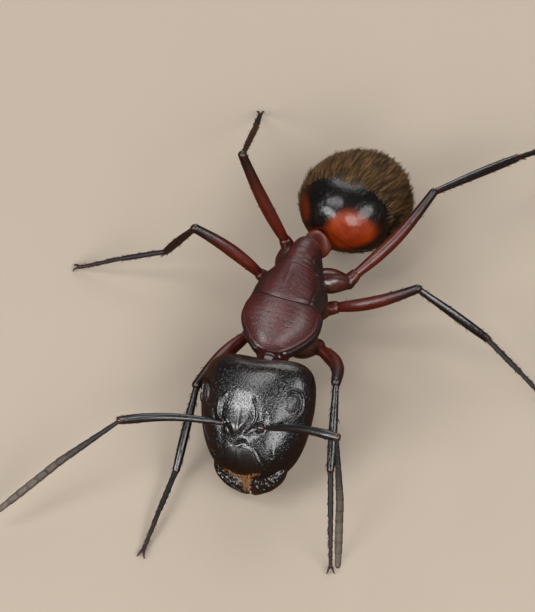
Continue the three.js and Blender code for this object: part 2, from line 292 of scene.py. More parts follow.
scene.world = bpy.data.worlds.new("surround")
worldTree = newTree(scene.world)
glow = addNode(worldTree, "Background", {
    "Color": linear(surround["colour"]), "Strength": surround["strength"]})
addNode(worldTree, "OutputWorld", {"Surface": glow})

chitinIor, hairIor = 1.56, 1.55
cloudStops = (0.3, 0.7)  # of the cloudy noise, where a pair of colours starts and ends


def makeCuticle(name, look):
    # Chitin, hardened and smooth, so it is darker than its pigment and shines like varnish. Its
    # outer face is netted with cells about 0.02 mm across, and pitted where a hair stands. The
    # net is drawn about three times as coarse, or it would not show.
    material = bpy.data.materials.new(name)
    tree = newTree(material)
    lie, tint, shade, coarse = fieldsOf(tree, "lie", "tint", "shade", "coarse")
    cloud = addNode(tree, "TexNoise", {
        "Scale": look["cloud"], "Detail": 4.0, "Roughness": 0.6, "Vector": lie})
    body, second = (addNode(tree, "ValToRGB", {"stops": list(zip(cloudStops, look[key])), "Fac": cloud})
                    for key in ("body", "second"))
    tinted = addNode(tree, "Mix", {"data_type": "RGBA", 0: tint, 6: body, 7: second})
    # painted shade: where the shade field is high, the colour goes to a near-black that darkens grooves,
    # pits, hollows and parts tucked under others
    shaded = addNode(tree, "Mix", {
        "data_type": "RGBA", 0: shade, 6: tinted.outputs[2], 7: linear(look["grooveShade"])})

    # the height of the surface: net, pits, wavy lines, broad dents and grain, one on top of another
    stretch = addNode(tree, "Mapping", {"Scale": look["stretch"], "Vector": lie})
    net = addNode(tree, "TexVoronoi", {
        "feature": "DISTANCE_TO_EDGE", "Scale": 1 / look["cell"], "Randomness": 0.9, "Vector": stretch})
    netHeight = addNode(tree, "MapRange", {
        "From Min": 0.0, "From Max": look["netEdge"], "To Max": look["netDepth"], "Value": net})
    pits = addNode(tree, "TexVoronoi", {"feature": "F1", "Scale": 1 / look["pitSpacing"], "Vector": lie})
    pitHeight = addNode(tree, "MapRange", {
        "From Min": look["pitFloor"], "From Max": look["pitSize"], "To Max": look["pitDepth"],
        "Value": pits})
    lines = addNode(tree, "TexWave", {
        "bands_direction": look["linesAcross"], "Scale": look["lineScale"], "Distortion": 1.2,
        "Detail": 2.0, "Detail Scale": 2.0, "Vector": lie})
    lineHeight = addNode(tree, "Math", {
        "operation": "MULTIPLY", 0: lines.outputs["Fac"], 1: look["lineDepth"]})
    withPits = addNode(tree, "Math", {"operation": "ADD", 0: netHeight, 1: pitHeight})
    withLines = addNode(tree, "Math", {"operation": "ADD", 0: withPits, 1: lineHeight})
    withDents = addNode(tree, "Math", {
        "operation": "MULTIPLY_ADD", 0: cloud, 1: look["dentDepth"], 2: withLines})
    grain = addNode(tree, "TexNoise", {"Scale": 1 / look["grain"], "Detail": 1.0, "Vector": lie})
    grainDepth = addNode(tree, "Math", {
        "operation": "MULTIPLY_ADD", 0: coarse, 1: look["coarseDepth"], 2: look["grainDepth"]})
    withGrain = addNode(tree, "Math", {
        "operation": "MULTIPLY_ADD", 0: grain, 1: grainDepth, 2: withDents})
    relief = addNode(tree, "Bump", {
        "Strength": 1.0, "Distance": 0.001 * metre * look["relief"], "Height": withGrain})
    dull = addNode(tree, "MapRange", {
        "To Min": look["roughness"][0], "To Max": look["roughness"][1], "Value": cloud})
    duller = addNode(tree, "Math", {
        "operation": "MULTIPLY_ADD", 0: coarse, 1: look["coarseDull"], 2: dull})
    shader = addNode(tree, "BsdfPrincipled", {
        "IOR": chitinIor, "Coat Weight": look["coat"], "Coat Roughness": look["coatRoughness"],
        "Specular IOR Level": look["specular"], "Base Color": shaded.outputs[2], "Roughness": duller,
        "Normal": relief})
    addNode(tree, "OutputMaterial", {"Surface": shader})
    return material


# Each pair of colours or of roughness is where the cloudy noise is low and where it is high. Cells,
# pits and grain are sized in millimetres, and the relief is the height in thousandths of a
# millimetre of everything whose depth is 1.
plainLook = {
    "cloud": 1.6, "body": ("#0b0908", "#171210"), "second": ("#33170e", "#4c2217"), "grooveShade": "#050303",
    "roughness": (0.2, 0.32), "coat": 0.5, "coatRoughness": 0.14, "specular": 0.75, "relief": 4,
    "cell": 0.07, "stretch": (1.0, 1.0, 1.0), "netEdge": 0.22, "netDepth": 1.0,
    "pitSpacing": 0.3, "pitFloor": 0.06, "pitSize": 0.16, "pitDepth": 1.0,
    "linesAcross": "Y", "lineScale": 1.875, "lineDepth": 0.0, "dentDepth": 3.0,
    "grain": 0.06, "grainDepth": 0.0, "coarseDepth": 0.0, "coarseDull": 0.0,
}
headCuticle = makeCuticle("blackCuticleOfHead", {
    **plainLook, "body": ("#080707", "#110e0d"), "second": ("#2c1b10", "#46301f"), "roughness": (0.19, 0.28),
    "cell": 0.06, "netDepth": 0.12, "pitSpacing": 0.078, "pitSize": 0.34, "pitDepth": 2.0, "relief": 5,
    "specular": 1.0, "dentDepth": 0.6, "coatRoughness": 0.13, "grainDepth": 0.5, "coarseDepth": 2.2,
})
clypeusCuticle = makeCuticle("striatedCuticle", {
    **plainLook, "body": ("#0e0a07", "#1c120b"), "second": ("#24140b", "#38200f"), "roughness": (0.3, 0.42),
    "linesAcross": "X", "lineScale": 3.125, "lineDepth": 0.7, "netDepth": 0.6, "coat": 0.15, "specular": 0.5,
})
jawCuticle = makeCuticle("pittedJawCuticle", {
    **plainLook, "body": ("#120c0a", "#221914"), "second": ("#3a140a", "#571f10"), "roughness": (0.1, 0.18),
    "pitSpacing": 0.125, "pitSize": 0.8, "pitDepth": 4.5, "netDepth": 0.5, "relief": 8, "coat": 1.0,
    "coatRoughness": 0.08, "specular": 1.0,
})
trunkCuticle = makeCuticle("maroonCuticle", {
    **plainLook, "body": ("#450f0e", "#621c19"), "second": ("#1a0c0b", "#2b1612"), "grooveShade": "#160607",
    "roughness": (0.36, 0.48), "coatRoughness": 0.26, "specular": 0.9, "stretch": (0.4, 1.0, 1.0),
    "cell": 0.055, "netDepth": 1.4, "lineDepth": 1.2, "pitSpacing": 0.42, "pitSize": 0.1, "pitDepth": 2.0,
    "relief": 3.6, "dentDepth": 4.0,
})
collarCuticle = makeCuticle("glossyRedCuticle", {
    **plainLook, "body": ("#2e0a0a", "#481211"), "second": ("#5a2018", "#783022"), "grooveShade": "#0e0303",
    "roughness": (0.1, 0.2), "netDepth": 0.3, "relief": 3, "coat": 1.0, "coatRoughness": 0.08,
})
legCuticle = makeCuticle("redBrownCuticle", {
    **plainLook, "body": ("#541608", "#74240f"), "second": ("#120a09", "#1e1210"), "grooveShade": "#140605",
    "roughness": (0.26, 0.4), "stretch": (1.0, 0.35, 1.0), "cell": 0.05, "relief": 2.6, "coat": 0.6,
    "coatRoughness": 0.16, "specular": 0.7,
})
shinCuticle = makeCuticle("blackShinCuticle", {
    **plainLook, "body": ("#0a0809", "#141112"), "second": ("#3e170c", "#5c2412"), "grooveShade": "#040303",
    "roughness": (0.18, 0.28), "stretch": (1.0, 0.3, 1.0), "cell": 0.05, "relief": 2.6, "coat": 1.0,
    "coatRoughness": 0.12, "specular": 1.0,
})
# its second colour is the dark brown that the painted shade of the coxae goes to
hipCuticle = makeCuticle("glossyHipCuticle", {
    **plainLook, "body": ("#541608", "#74240f"), "second": ("#2a1c13", "#413024"), "grooveShade": "#140605",
    "roughness": (0.2, 0.3), "cell": 0.05, "netDepth": 0.6, "relief": 2.4, "coat": 0.8, "coatRoughness": 0.12,
    "specular": 1.0,
})
toeCuticle = makeCuticle("bristlyToeCuticle", {
    **plainLook, "body": ("#120c0a", "#201511"), "second": ("#3c190d", "#592a16"), "grooveShade": "#070403",
    "roughness": (0.4, 0.55), "cell": 0.05, "netDepth": 1.6, "relief": 3.0, "coat": 0.1, "coatRoughness": 0.3,
    "specular": 0.6,
})
feelerCuticle = makeCuticle("feelerCuticle", {
    **plainLook, "body": ("#0e0b0b", "#1e1918"), "second": ("#4a2012", "#6e3620"), "grooveShade": "#070404",
    "roughness": (0.24, 0.36), "stretch": (1.0, 0.5, 1.0), "cell": 0.06, "netDepth": 0.7, "coat": 0.7,
    "specular": 1.0,
})
whipCuticle = makeCuticle("downyFeelerCuticle", {
    **plainLook, "body": ("#141110", "#231e1c"), "second": ("#746759", "#948575"), "grooveShade": "#0c0706",
    "roughness": (0.4, 0.55), "stretch": (1.0, 0.5, 1.0), "netDepth": 2.4, "coat": 0.1, "specular": 0.6,
    "cloud": 5.0,
})
gasterCuticle = makeCuticle("gasterCuticle", {
    **plainLook, "body": ("#0c0908", "#16100d"), "second": ("#8c2804", "#b24308"), "grooveShade": "#060404",
    "roughness": (0.2, 0.3), "stretch": (0.4, 1.0, 0.6), "netDepth": 0.5, "relief": 3.0, "coat": 0.85,
    "coatRoughness": 0.16, "specular": 0.4, "dentDepth": 40.0, "cloud": 0.9, "coarseDull": 0.1,
})
# its second colour, a pinker red, is the painted highlight on the scale's upper front face
petioleCuticle = makeCuticle("petioleCuticle", {
    **plainLook, "body": ("#6a220e", "#8a3816"), "second": ("#5e231b", "#7a362c"), "grooveShade": "#1c0804",
    "roughness": (0.42, 0.55), "netDepth": 0.8, "relief": 2.6, "coat": 0.15, "coatRoughness": 0.3,
    "specular": 1.0,
})


def makeEyeMaterial(look):
    # Compound eye: clear domed lenses over dark pigment. A lens is 0.02 mm across; here they are
    # drawn at four times that, so that they show.
    material = bpy.data.materials.new("compoundEye")
    tree = newTree(material)
    lie, shade = fieldsOf(tree, "lie", "shade")
    lenses = addNode(tree, "TexVoronoi", {
        "feature": "F1", "Scale": 1 / look["lens"], "Randomness": look["uneven"], "Vector": lie})
    dome = addNode(tree, "Math", {"operation": "MULTIPLY", 0: lenses, 1: -1.0})
    relief = addNode(tree, "Bump", {"Strength": 1.0, "Distance": look["relief"] * metre, "Height": dome})
    # painted reflection: the middle of each lens is a lighter grey than the pigment, standing in for the
    # lenses' shine
    pigmentAndShine = addNode(tree, "ValToRGB", {"stops": look["pigmentAndShine"], "Fac": lenses})
    # painted shade: towards the edge of the lens the colour darkens to a reddish black
    edge = addNode(tree, "Mix", {"data_type": "RGBA", 0: shade, 6: pigmentAndShine, 7: linear(look["rim"])})
    shader = addNode(tree, "BsdfPrincipled", {
        "IOR": chitinIor, "Specular IOR Level": 1.0, "Roughness": look["roughness"],
        "Coat Weight": look["coat"], "Coat Roughness": look["coatRoughness"],
        "Base Color": edge.outputs[2], "Normal": relief})
    addNode(tree, "OutputMaterial", {"Surface": shader})
    return material


eyeMaterial = makeEyeMaterial({
    "lens": 0.08, "uneven": 0.15, "relief": 0.04, "pigmentAndShine": [(0.2, "#3c3c42"), (0.6, "#191616")],
    "rim": "#200b07", "roughness": 0.3, "coat": 0.9, "coatRoughness": 0.22,
})


def makeHairMaterial(name, root, tip, glossy):
    # Chitin bristle: solid, amber where it is thin, and shiny along its length
    material = bpy.data.materials.new(name)
    tree = newTree(material)
    tint, = fieldsOf(tree, "tint")
    colour = addNode(tree, "ValToRGB", {"stops": [(0.0, root), (1.0, tip)], "Fac": tint})
    coords = addNode(tree, "TexCoord").outputs["Object"]
    patches = addNode(tree, "TexNoise", {"Scale": 2500.0, "Detail": 2.0, "Vector": coords})
    dull = addNode(tree, "MapRange", {"To Min": glossy, "To Max": glossy + 0.2, "Value": patches})
    shader = addNode(tree, "BsdfPrincipled", {"IOR": hairIor, "Base Color": colour, "Roughness": dull})
    addNode(tree, "OutputMaterial", {"Surface": shader})
    return material


gasterHair = makeHairMaterial("goldenBrownHair", "#21140b", "#bb8b52", 0.34)
amberHair = makeHairMaterial("amberBristle", "#9a5020", "#f6bf84", 0.3)
darkHair = makeHairMaterial("darkBristle", "#120c0a", "#5a4030", 0.4)
print("materials made")

skull = {
    "middle": (0.08, -4.22, 2.0), "yaw": 7.5, "pitch": 36, "roll": -20,
    "halfWidth": 1.86, "halfLength": 1.91, "rise": 1.12, "depth": 1.1, "taper": 0.29, "frontDrop": 0.15,
    "rearBluntness": 0.46, "frontBluntness": 0.6, "sideBluntness": 0.9, "topBluntness": 0.95, "notch": 0.1,
    # how far each frontal ridge stands from the middle line, at even steps from front to rear
    "ridgeAt": (0.26, 0.33, 0.43, 0.57, 0.64, 0.65, 0.63, 0.58, 0.5, 0.42),
    "ridgeFrom": -0.6, "ridgeTo": 0.75, "ridgeMiddle": -0.13, "lobeMiddle": -0.07, "ridgeHeight": 0.08,
    "furrowDepth": 0.01, "socket": (0.62, -0.27), "socketDepth": 0.12,
    "hairSpots": ((0.16, 0.62), (0.76, 0.27)),
}
eye = {"middle": (1.38, 0.57, 0.59), "half": (0.28, 0.37, 0.2), "turn": -8, "lean": 40}
headPlace = placeAt(skull["middle"], skull["yaw"], skull["pitch"], skull["roll"])


def skullRow(flat):
    # of the row across the skull at this length: the girth, the half width and the drop
    along = np.clip(flat / skull["halfLength"], -1, 1)
    ring = girth(along, np.where(along > 0, skull["rearBluntness"], skull["frontBluntness"]))
    front = ramp(flat, 0.5, -1.8)
    width = skull["halfWidth"] * (1 - skull["taper"] * front ** 1.5) * ring
    return ring, width, skull["frontDrop"] * front ** 2


def rearNotch(x, flat):  # a bell across the back edge, fading forwards
    return skull["notch"] * bell(x, 0, 0.8) * ramp(flat, 1, 1.8)


def skullPoints(along, angle):
    # across: the row's half width times the cosine; up: its girth times the sine; both blunted
    flat = skull["halfLength"] * along
    ring, width, drop = skullRow(flat)
    x = width * power(np.cos(angle), skull["sideBluntness"])
    height = np.where(np.sin(angle) > 0, skull["rise"], skull["depth"])
    z = height * ring * power(np.sin(angle), skull["topBluntness"]) - drop
    return together(x, flat - rearNotch(x, flat), z)


def skullTop(x, y):
    # the same surface, solved by repetition for its height over a point of the face
    flat = y
    for _ in range(6):
        flat = y + rearNotch(x, flat)
    ring, width, drop = skullRow(flat)
    side = np.clip(np.abs(x) / np.maximum(width, 1e-6), 0, 1) ** (1 / skull["sideBluntness"])
    return skull["rise"] * ring * np.sqrt(1 - side ** 2) ** skull["topBluntness"] - drop


def eyePlaceOf(side):  # an eye's own place in the head's frame
    across, along, up = eye["middle"]
    return placeAt((side * across, along, up), side * eye["turn"], 0, side * eye["lean"])


def ridgeLine(y):  # how far a frontal ridge stands from the middle line
    t = (y - skull["ridgeFrom"]) / (skull["ridgeTo"] - skull["ridgeFrom"])
    return curveThrough(t, skull["ridgeAt"])


plate = {
    "rear": -0.94, "front": -1.58, "widestAt": -1.5, "rearHalfWidth": 0.52, "frontHalfWidth": 0.78,
    "arch": 0.08, "bulge": 0.28, "lift": 0.014,
}


def plateHalfWidth(y):  # from the rear half width to the front one, straight between them
    widening = ramp(y, plate["rear"], plate["widestAt"])
    return plate["rearHalfWidth"] + (plate["frontHalfWidth"] - plate["rearHalfWidth"]) * widening


def hollowBeforeFeelers(x, y):  # a bell round a wavy line across the face
    return -0.045 * bell(x, 0.06, 0.28) * bell(y, -0.85 + 0.05 * np.sin(x * 11), 0.12)


def faceRelief(local):
    # heights over the plain skull, as sums of bells round lines and points of the face, and the
    # painted shade in its hollows, furrows, pits and round the eyes
    x, y, z = np.moveaxis(local, -1, 0)
    across = np.abs(x)
    top = ease(z, 0.25, 0.6)
    fromMiddle = np.abs(x - skull["lobeMiddle"])
    fromRidge = np.abs(x - skull["ridgeMiddle"]) - ridgeLine(y)
    fromSocket = np.hypot(across - skull["socket"][0], y - skull["socket"][1])
    onRidge = ease(y, -0.56, -0.34) * (1 - ease(y, 0.4, 0.75))
    ridge = skull["ridgeHeight"] * bell(fromRidge, 0, 0.034) * onRidge
    slit = -0.035 * bell(fromRidge, 0.07, 0.028) * ease(y, -0.35, -0.1) * (1 - ease(y, 0.35, 0.65))
    slab = 0.1 * np.clip(0.6 - y, 0, 1.2) ** 2 * ease(y, -0.75, -0.2)
    lobe = slab * (0.75 + 0.25 * ease(fromMiddle, 0.0, 0.14)) * (1 - ease(fromRidge, -0.34, -0.04))
    beside = -0.07 * bell(fromRidge, 0.22, 0.15) * bell(y, -0.2, 0.34)
    furrow = -skull["furrowDepth"] * bell(fromMiddle, 0, 0.025)
    furrow = furrow * ease(y, -0.5, -0.3) * (1 - ease(y, 0.3, 0.6))
    brow = 0.03 * bell(y, 0.75, 0.3) * bell(across, 0.2, 0.7)
    socket = -skull["socketDepth"] * bell(fromSocket, 0, 0.13)
    socketRim = 0.05 * bell(fromSocket, 0.2, 0.028) * ease(y, -0.4, -0.1)
    beforeSocket = -0.02 * bell(across, 0.6, 0.16) * bell(y, -0.72, 0.18)
    plateGroove = -0.022 * bell(across, plateHalfWidth(y) + 0.03, 0.04) * ease(-y, 0.9, 1.0)
    spots = sum(bell(np.hypot(x - spotX, y - spotY), 0, 0.028) for spotX, spotY in skull["hairSpots"])
    face = (ridge + slit + lobe + beside + furrow + brow + hollowBeforeFeelers(x, y) + socket + socketRim
            + beforeSocket + plateGroove - 0.016 * spots)
    cheekLine = 1.08 - 0.25 * ramp(-y, 1.1, 1.5)
    cheek = 0.045 * bell(across, cheekLine, 0.07) * bell(y, -1.15, 0.3) * ease(z, 0.0, 0.3)
    throat = -0.05 * bell(across, 0, 0.04) * ease(-z, 0.3, 0.6)
    crease = -0.03 * bell(across, 0.55, 0.03) * ease(-z, 0.5, 0.7) * ease(-y, -0.4, 0.6)
    mouthPit = -0.12 * bell(across, 0, 0.38) * bell(y, -1.35, 0.35) * ease(-z, 0.3, 0.6)
    height = face * top + cheek + throat + crease + mouthPit
    # painted shade along the middle furrow and the slits beside the ridges, and below in the feeler sockets,
    # the hollow before them and the hair pits
    lines = (0.25 * bell(fromMiddle, 0, 0.025) + 0.5 * bell(fromMiddle, 0, 0.03)
             + 0.4 * bell(fromRidge, 0.07, 0.028))
    paintedShade = 0.75 * bell(fromSocket, 0, 0.15) + 0.5 * bell(across, 0, 0.4) * bell(y, -0.7, 0.16)
    paintedShade = (paintedShade + 0.72 * spots + lines * onRidge) * top
    for side in sides.values():
        turn, middle = eyePlaceOf(side)
        a, l, h = np.moveaxis((local - middle) @ turn, -1, 0)
        fromEye = np.hypot(a / eye["half"][0], l / eye["half"][1])  # 1 at the rim of the lens
        near = ease(h, -0.5, -0.2)
        outer = ease(side * a * 0.75 + l * 0.7, -0.02, 0.2)  # the rear and outer side of the orbit
        height += near * outer * (0.06 * bell(fromEye, 1.34, 0.055) - 0.08 * bell(fromEye, 1.14, 0.09))
        # painted shade in the ring round each eye and in the groove of its orbit
        paintedShade += near * (0.3 * bell(fromEye, 1.02, 0.06) + 0.7 * bell(fromEye, 1.16, 0.12) * outer)
    return height, np.clip(paintedShade, 0, 1)


def buildSkull():
    # the plain skull, each point moved along its normal by the height of the relief
    local = skullPoints(endToEnd(260, 0.02)[:, None], evenAngles(340)[None, :])
    height, paintedShade = faceRelief(local)
    x, y, z = np.moveaxis(local, -1, 0)
    # brown shows at the cheeks, the rear corners and the throat; the far stronger brown of the ant's
    # right cheek is painted reflection of the brown bench
    brown = 0.7 * ease(-x, 0.9, 1.6) + 0.15 * ease(x, 1.4, 1.85)
    brown = np.clip(brown + 0.35 * ease(-z, 0.2, 0.9) + 0.3 * ease(y, 1.3, 1.8), 0, 1)
    # the sculpture is fine on the frontal lobes and the cheeks, and coarse behind the eyes
    coarse = 1 - 0.9 * bell(x + 0.07, 0, 0.5) * (1 - ease(y, 0.3, 0.55)) * ease(y, -0.7, -0.4)
    coarse -= 0.5 * bell(np.abs(x), 1.05, 0.36) * bell(y, -0.6, 0.45)
    coarse += 0.4 * bell(np.abs(x), 1.1, 0.4) * bell(y, 1.1, 0.4)
    shaped = local + gridNormals(local) * height[..., None]
    return closedSkin(placed(headPlace, shaped), lie=local, tint=brown, shade=paintedShade, coarse=coarse)


makePiece("skullShell", buildSkull(), headCuticle, "black_cuticle", "head")


def buildClypeus():
    # a disc laid out as a rounded trapezium (s across, t along, each a power of the circle's):
    # first over the top with a low keel, then down the edge, then back under
    topRows, underRows, squareness, thickness = 56, 12, 0.45, 0.16
    rho = np.r_[np.linspace(0.03, 1, topRows), 1.012, 1.0, np.linspace(0.97, 0.05, underRows)][:, None]
    drop = np.r_[np.zeros(topRows), 0.07, 0.14, np.full(underRows, thickness)][:, None]
    turn = evenAngles(170)[None, :]
    s, t = rho * power(np.cos(turn), squareness), rho * power(np.sin(turn), squareness)
    y = (plate["rear"] + plate["front"]) / 2 + t * (plate["rear"] - plate["front"]) / 2
    x = s * plateHalfWidth(y)
    y = y - plate["bulge"] * (1 - s ** 2) * ramp(-t, -0.6, 1.0) + plate["arch"] * (1 - s ** 2) * ramp(t, 0, 1)
    y = y - 0.012 * np.cos(s * 30) * ease(-t, 0.93, 1.0)  # scalloped front edge
    edge = -1.52  # past it the plate bends down over the jaws
    past = np.minimum(y - edge, 0)
    z = skullTop(x, np.maximum(y, edge)) + 0.8 * past - 0.9 * past ** 2 + hollowBeforeFeelers(x, y) - drop
    z += 0.022 * bell(s, 0, 0.12) * ease(-t, -0.8, -0.2) * (1 - rho ** 4)
    # the sides lie flush and the rear sinks in
    front = ease(-t, 0.2, 0.9)
    z += plate["lift"] * (1 - ease(np.abs(s), 0.6, 1))
    z -= (plate["lift"] + 0.03) * ease(rho, 0.8, 1) * (1 - front)
    local = together(x, y, z)
    brown = np.clip(ease(-t, -0.2, 1.0) * 0.5 + ease(rho, 0.88, 1.0) * front * 0.5, 0, 1)
    return closedSkin(placed(headPlace, local), lie=local, tint=brown, shade=0.0)


makePiece("clypeusPlate", buildClypeus(), clypeusCuticle, "black_cuticle", "clypeus")


def buildEye(side):
    # an ellipsoid whose outer half is the lens cap, a little fuller than an ellipse
    along = endToEnd(60)[:, None]
    angle = evenAngles(72)[None, :]
    ring = girth(along, 0.9)
    local = together(ring * np.cos(angle), along, ring * np.sin(angle)) * eye["half"] * (1.04, 1.04, 1.15)
    rim = ease(np.hypot(local[..., 0] / eye["half"][0], local[..., 1] / eye["half"][1]), 0.82, 1.0)
    return closedSkin(placed(within(headPlace, eyePlaceOf(side)), local), lie=local, shade=rim)


for sideName, side in sides.items():
    makePiece(f"eye{sideName.title()}", buildEye(side), eyeMaterial, "eye", f"eye_{sideName}")


jaw = {
    # the outer and the inner margin of one jaw in the head's own frame, from its hinge to its tip
    "outer": ((1.16, -1.22), (1.22, -1.55), (1.1, -1.88), (0.78, -2.17), (0.42, -2.33), (0.13, -2.42)),
    "inner": ((0.5, -1.2), (0.42, -1.5), (0.27, -1.74), (0.13, -1.93), (0.06, -2.12), (0.04, -2.36)),
    "height": (-0.06, -0.06, -0.08, -0.12, -0.2, -0.3), "halfThickness": (0.36, 0.35, 0.31, 0.25, 0.18, 0.06),
    "teeth": 5, "toothedShare": 0.56, "toothLength": 0.07,
}


def buildJaw(side):
    # rings between the two margins: a superellipse whose inner edge is cut into teeth by a
    # triangle wave, thick at the hinge and thin at the tip, and arched over its width
    t = np.linspace(0, 1, 150)[:, None]
    outer, inner = curveThrough(t[:, 0], jaw["outer"]), curveThrough(t[:, 0], jaw["inner"])
    middle, half = (outer + inner) / 2, (outer - inner) / 2
    cap = np.sqrt(np.maximum(0.0, 1 - np.maximum(ramp(0.1 - t, 0, 0.1), ramp(t, 0.93, 1)) ** 2)) * 0.97 + 0.03
    angle = evenAngles(72)[None, :]
    c, up = power(np.cos(angle), 0.8), power(np.sin(angle), 0.9)
    wave = np.abs((t * jaw["teeth"] / jaw["toothedShare"] + 0.5) % 1 - 0.5) * 2
    tooth = jaw["toothLength"] * (1 - wave) * ease(t, 0.42, 0.5)
    x = middle[:, :1] + half[:, :1] * c * cap - ramp(-c, 0.3, 1) ** 2 * tooth
    y = middle[:, 1:] + half[:, 1:] * c * cap
    thick = curveThrough(t, jaw["halfThickness"]) * cap
    z = curveThrough(t, jaw["height"]) + thick * up * (1 - 0.35 * ramp(-c, 0, 1)) + 0.05 * c ** 2
    # the groove along the outer margin is also darkened there as painted shade
    grooveShade = bell(c, 0.45, 0.12) * (up > 0)  # along the outer margin
    local = together(side * x, y, z - 0.02 * grooveShade)
    brown = 0.9 * ease(t, 0.75, 1.0) + 0.7 * ramp(-c, 0.5, 1) ** 2 * ease(t, 0.4, 0.6)
    return closedSkin(placed(headPlace, local), lie=local, tint=np.clip(brown, 0, 1), shade=0.4 * grooveShade)


for sideName, side in sides.items():
    makePiece(f"mandible{sideName.title()}", buildJaw(side), jawCuticle, "black_cuticle",
              f"mandible_{sideName}")
print("head shaped")


def profileTube(path, halfWidth, halfThickness, columns, up):
    # an ellipse carried along a path: width along path x up, thickness along the third way
    way = unit(np.gradient(path, axis=0))
    side = unit(np.cross(way, up))
    angle = evenAngles(columns)[None, :, None]
    return (path[:, None] + side[:, None] * halfWidth[:, None, None] * np.cos(angle)
            + np.cross(side, way)[:, None] * halfThickness[:, None, None] * np.sin(angle))


def tubeLie(radius, along, columns):
    # where a tube's points lie in its own pattern: round its axis, and along it in millimetres
    angle = evenAngles(columns)[None, :]
    return together(radius[:, None] * np.cos(angle), along[:, None], radius[:, None] * np.sin(angle))


trunk = {
    "middle": (-0.06, 0, 2.6), "yaw": -2.5, "pitch": 8, "halfLength": 2.12, "halfWidth": 0.55,
    "frontBluntness": 0.38, "rearBluntness": 0.5, "rise": 1.0, "depth": 0.95, "belly": 0.28,
    "shoulder": (-0.95, 0.95, 0.68), "flank": (0.35, 0.75, 0.28),  # middle, reach and swell
    "firstSuture": -0.55, "firstSwing": 0.17, "firstFall": 0.6, "secondSuture": 0.78, "halfGap": 0.006,
    "lip": 0.055, "lipDepth": 0.03, "frontRim": 0.018,
    "hairSpots": ((0.29, -0.98), (0.1, -1.18), (-0.3, -1.05), (-0.12, -1.4), (0.4, -1.35), (-0.45, -0.75)),
    # bands round the last plate: height, place along, reach, and the heights between which each fades out
    "bands": ((-0.03, 0.96, 0.05, 0.2, 0.5), (-0.012, 1.12, 0.03, 0.2, 0.5), (-0.014, 1.5, 0.035, 0.1, 0.4),
              (0.03, 1.3, 0.13, 0.3, 0.6)),
}
trunkPlace = placeAt(trunk["middle"], trunk["yaw"], trunk["pitch"])


def trunkPoints(y, angle):
    # width: half width plus two bells along the body, narrower over the roof towards the rear
    # and fuller low on the flanks
    bluntness = np.where(y < 0, trunk["frontBluntness"], trunk["rearBluntness"])
    ring = girth(np.clip(y / trunk["halfLength"], -1, 1), bluntness)
    width = trunk["halfWidth"]
    for middle, reach, swell in (trunk["shoulder"], trunk["flank"]):
        width = width + swell * bell(y, middle, reach)
    height = np.where(np.sin(angle) > 0, trunk["rise"] - 0.09 * y * y, trunk["depth"] - 0.1 * y * y)
    z = height * ring * power(np.sin(angle), 0.9)
    width = width * (1 - (0.08 + 0.12 * ramp(y, 0, 1.5)) * ramp(z, 0, 0.9))
    width = width * (1 + trunk["belly"] * bell(y, 0.6, 1.0) * bell(z, -0.35, 0.5))
    return together(width * ring * power(np.cos(angle), 0.9), y, z)


def firstSutureAt(angle):
    # y = suture + swing * (share of the width)^2 - fall * (share of the way down), by repetition
    y = np.full_like(angle, -0.5)
    for _ in range(14):
        x, _, z = np.moveaxis(trunkPoints(y, angle), -1, 0)
        goal = trunk["firstSuture"] + trunk["firstSwing"] * ramp(np.abs(x), 0, 0.9) ** 2
        y = 0.5 * y + 0.5 * (goal - trunk["firstFall"] * ease(0.35 - z, 0, 1.2))
    return y


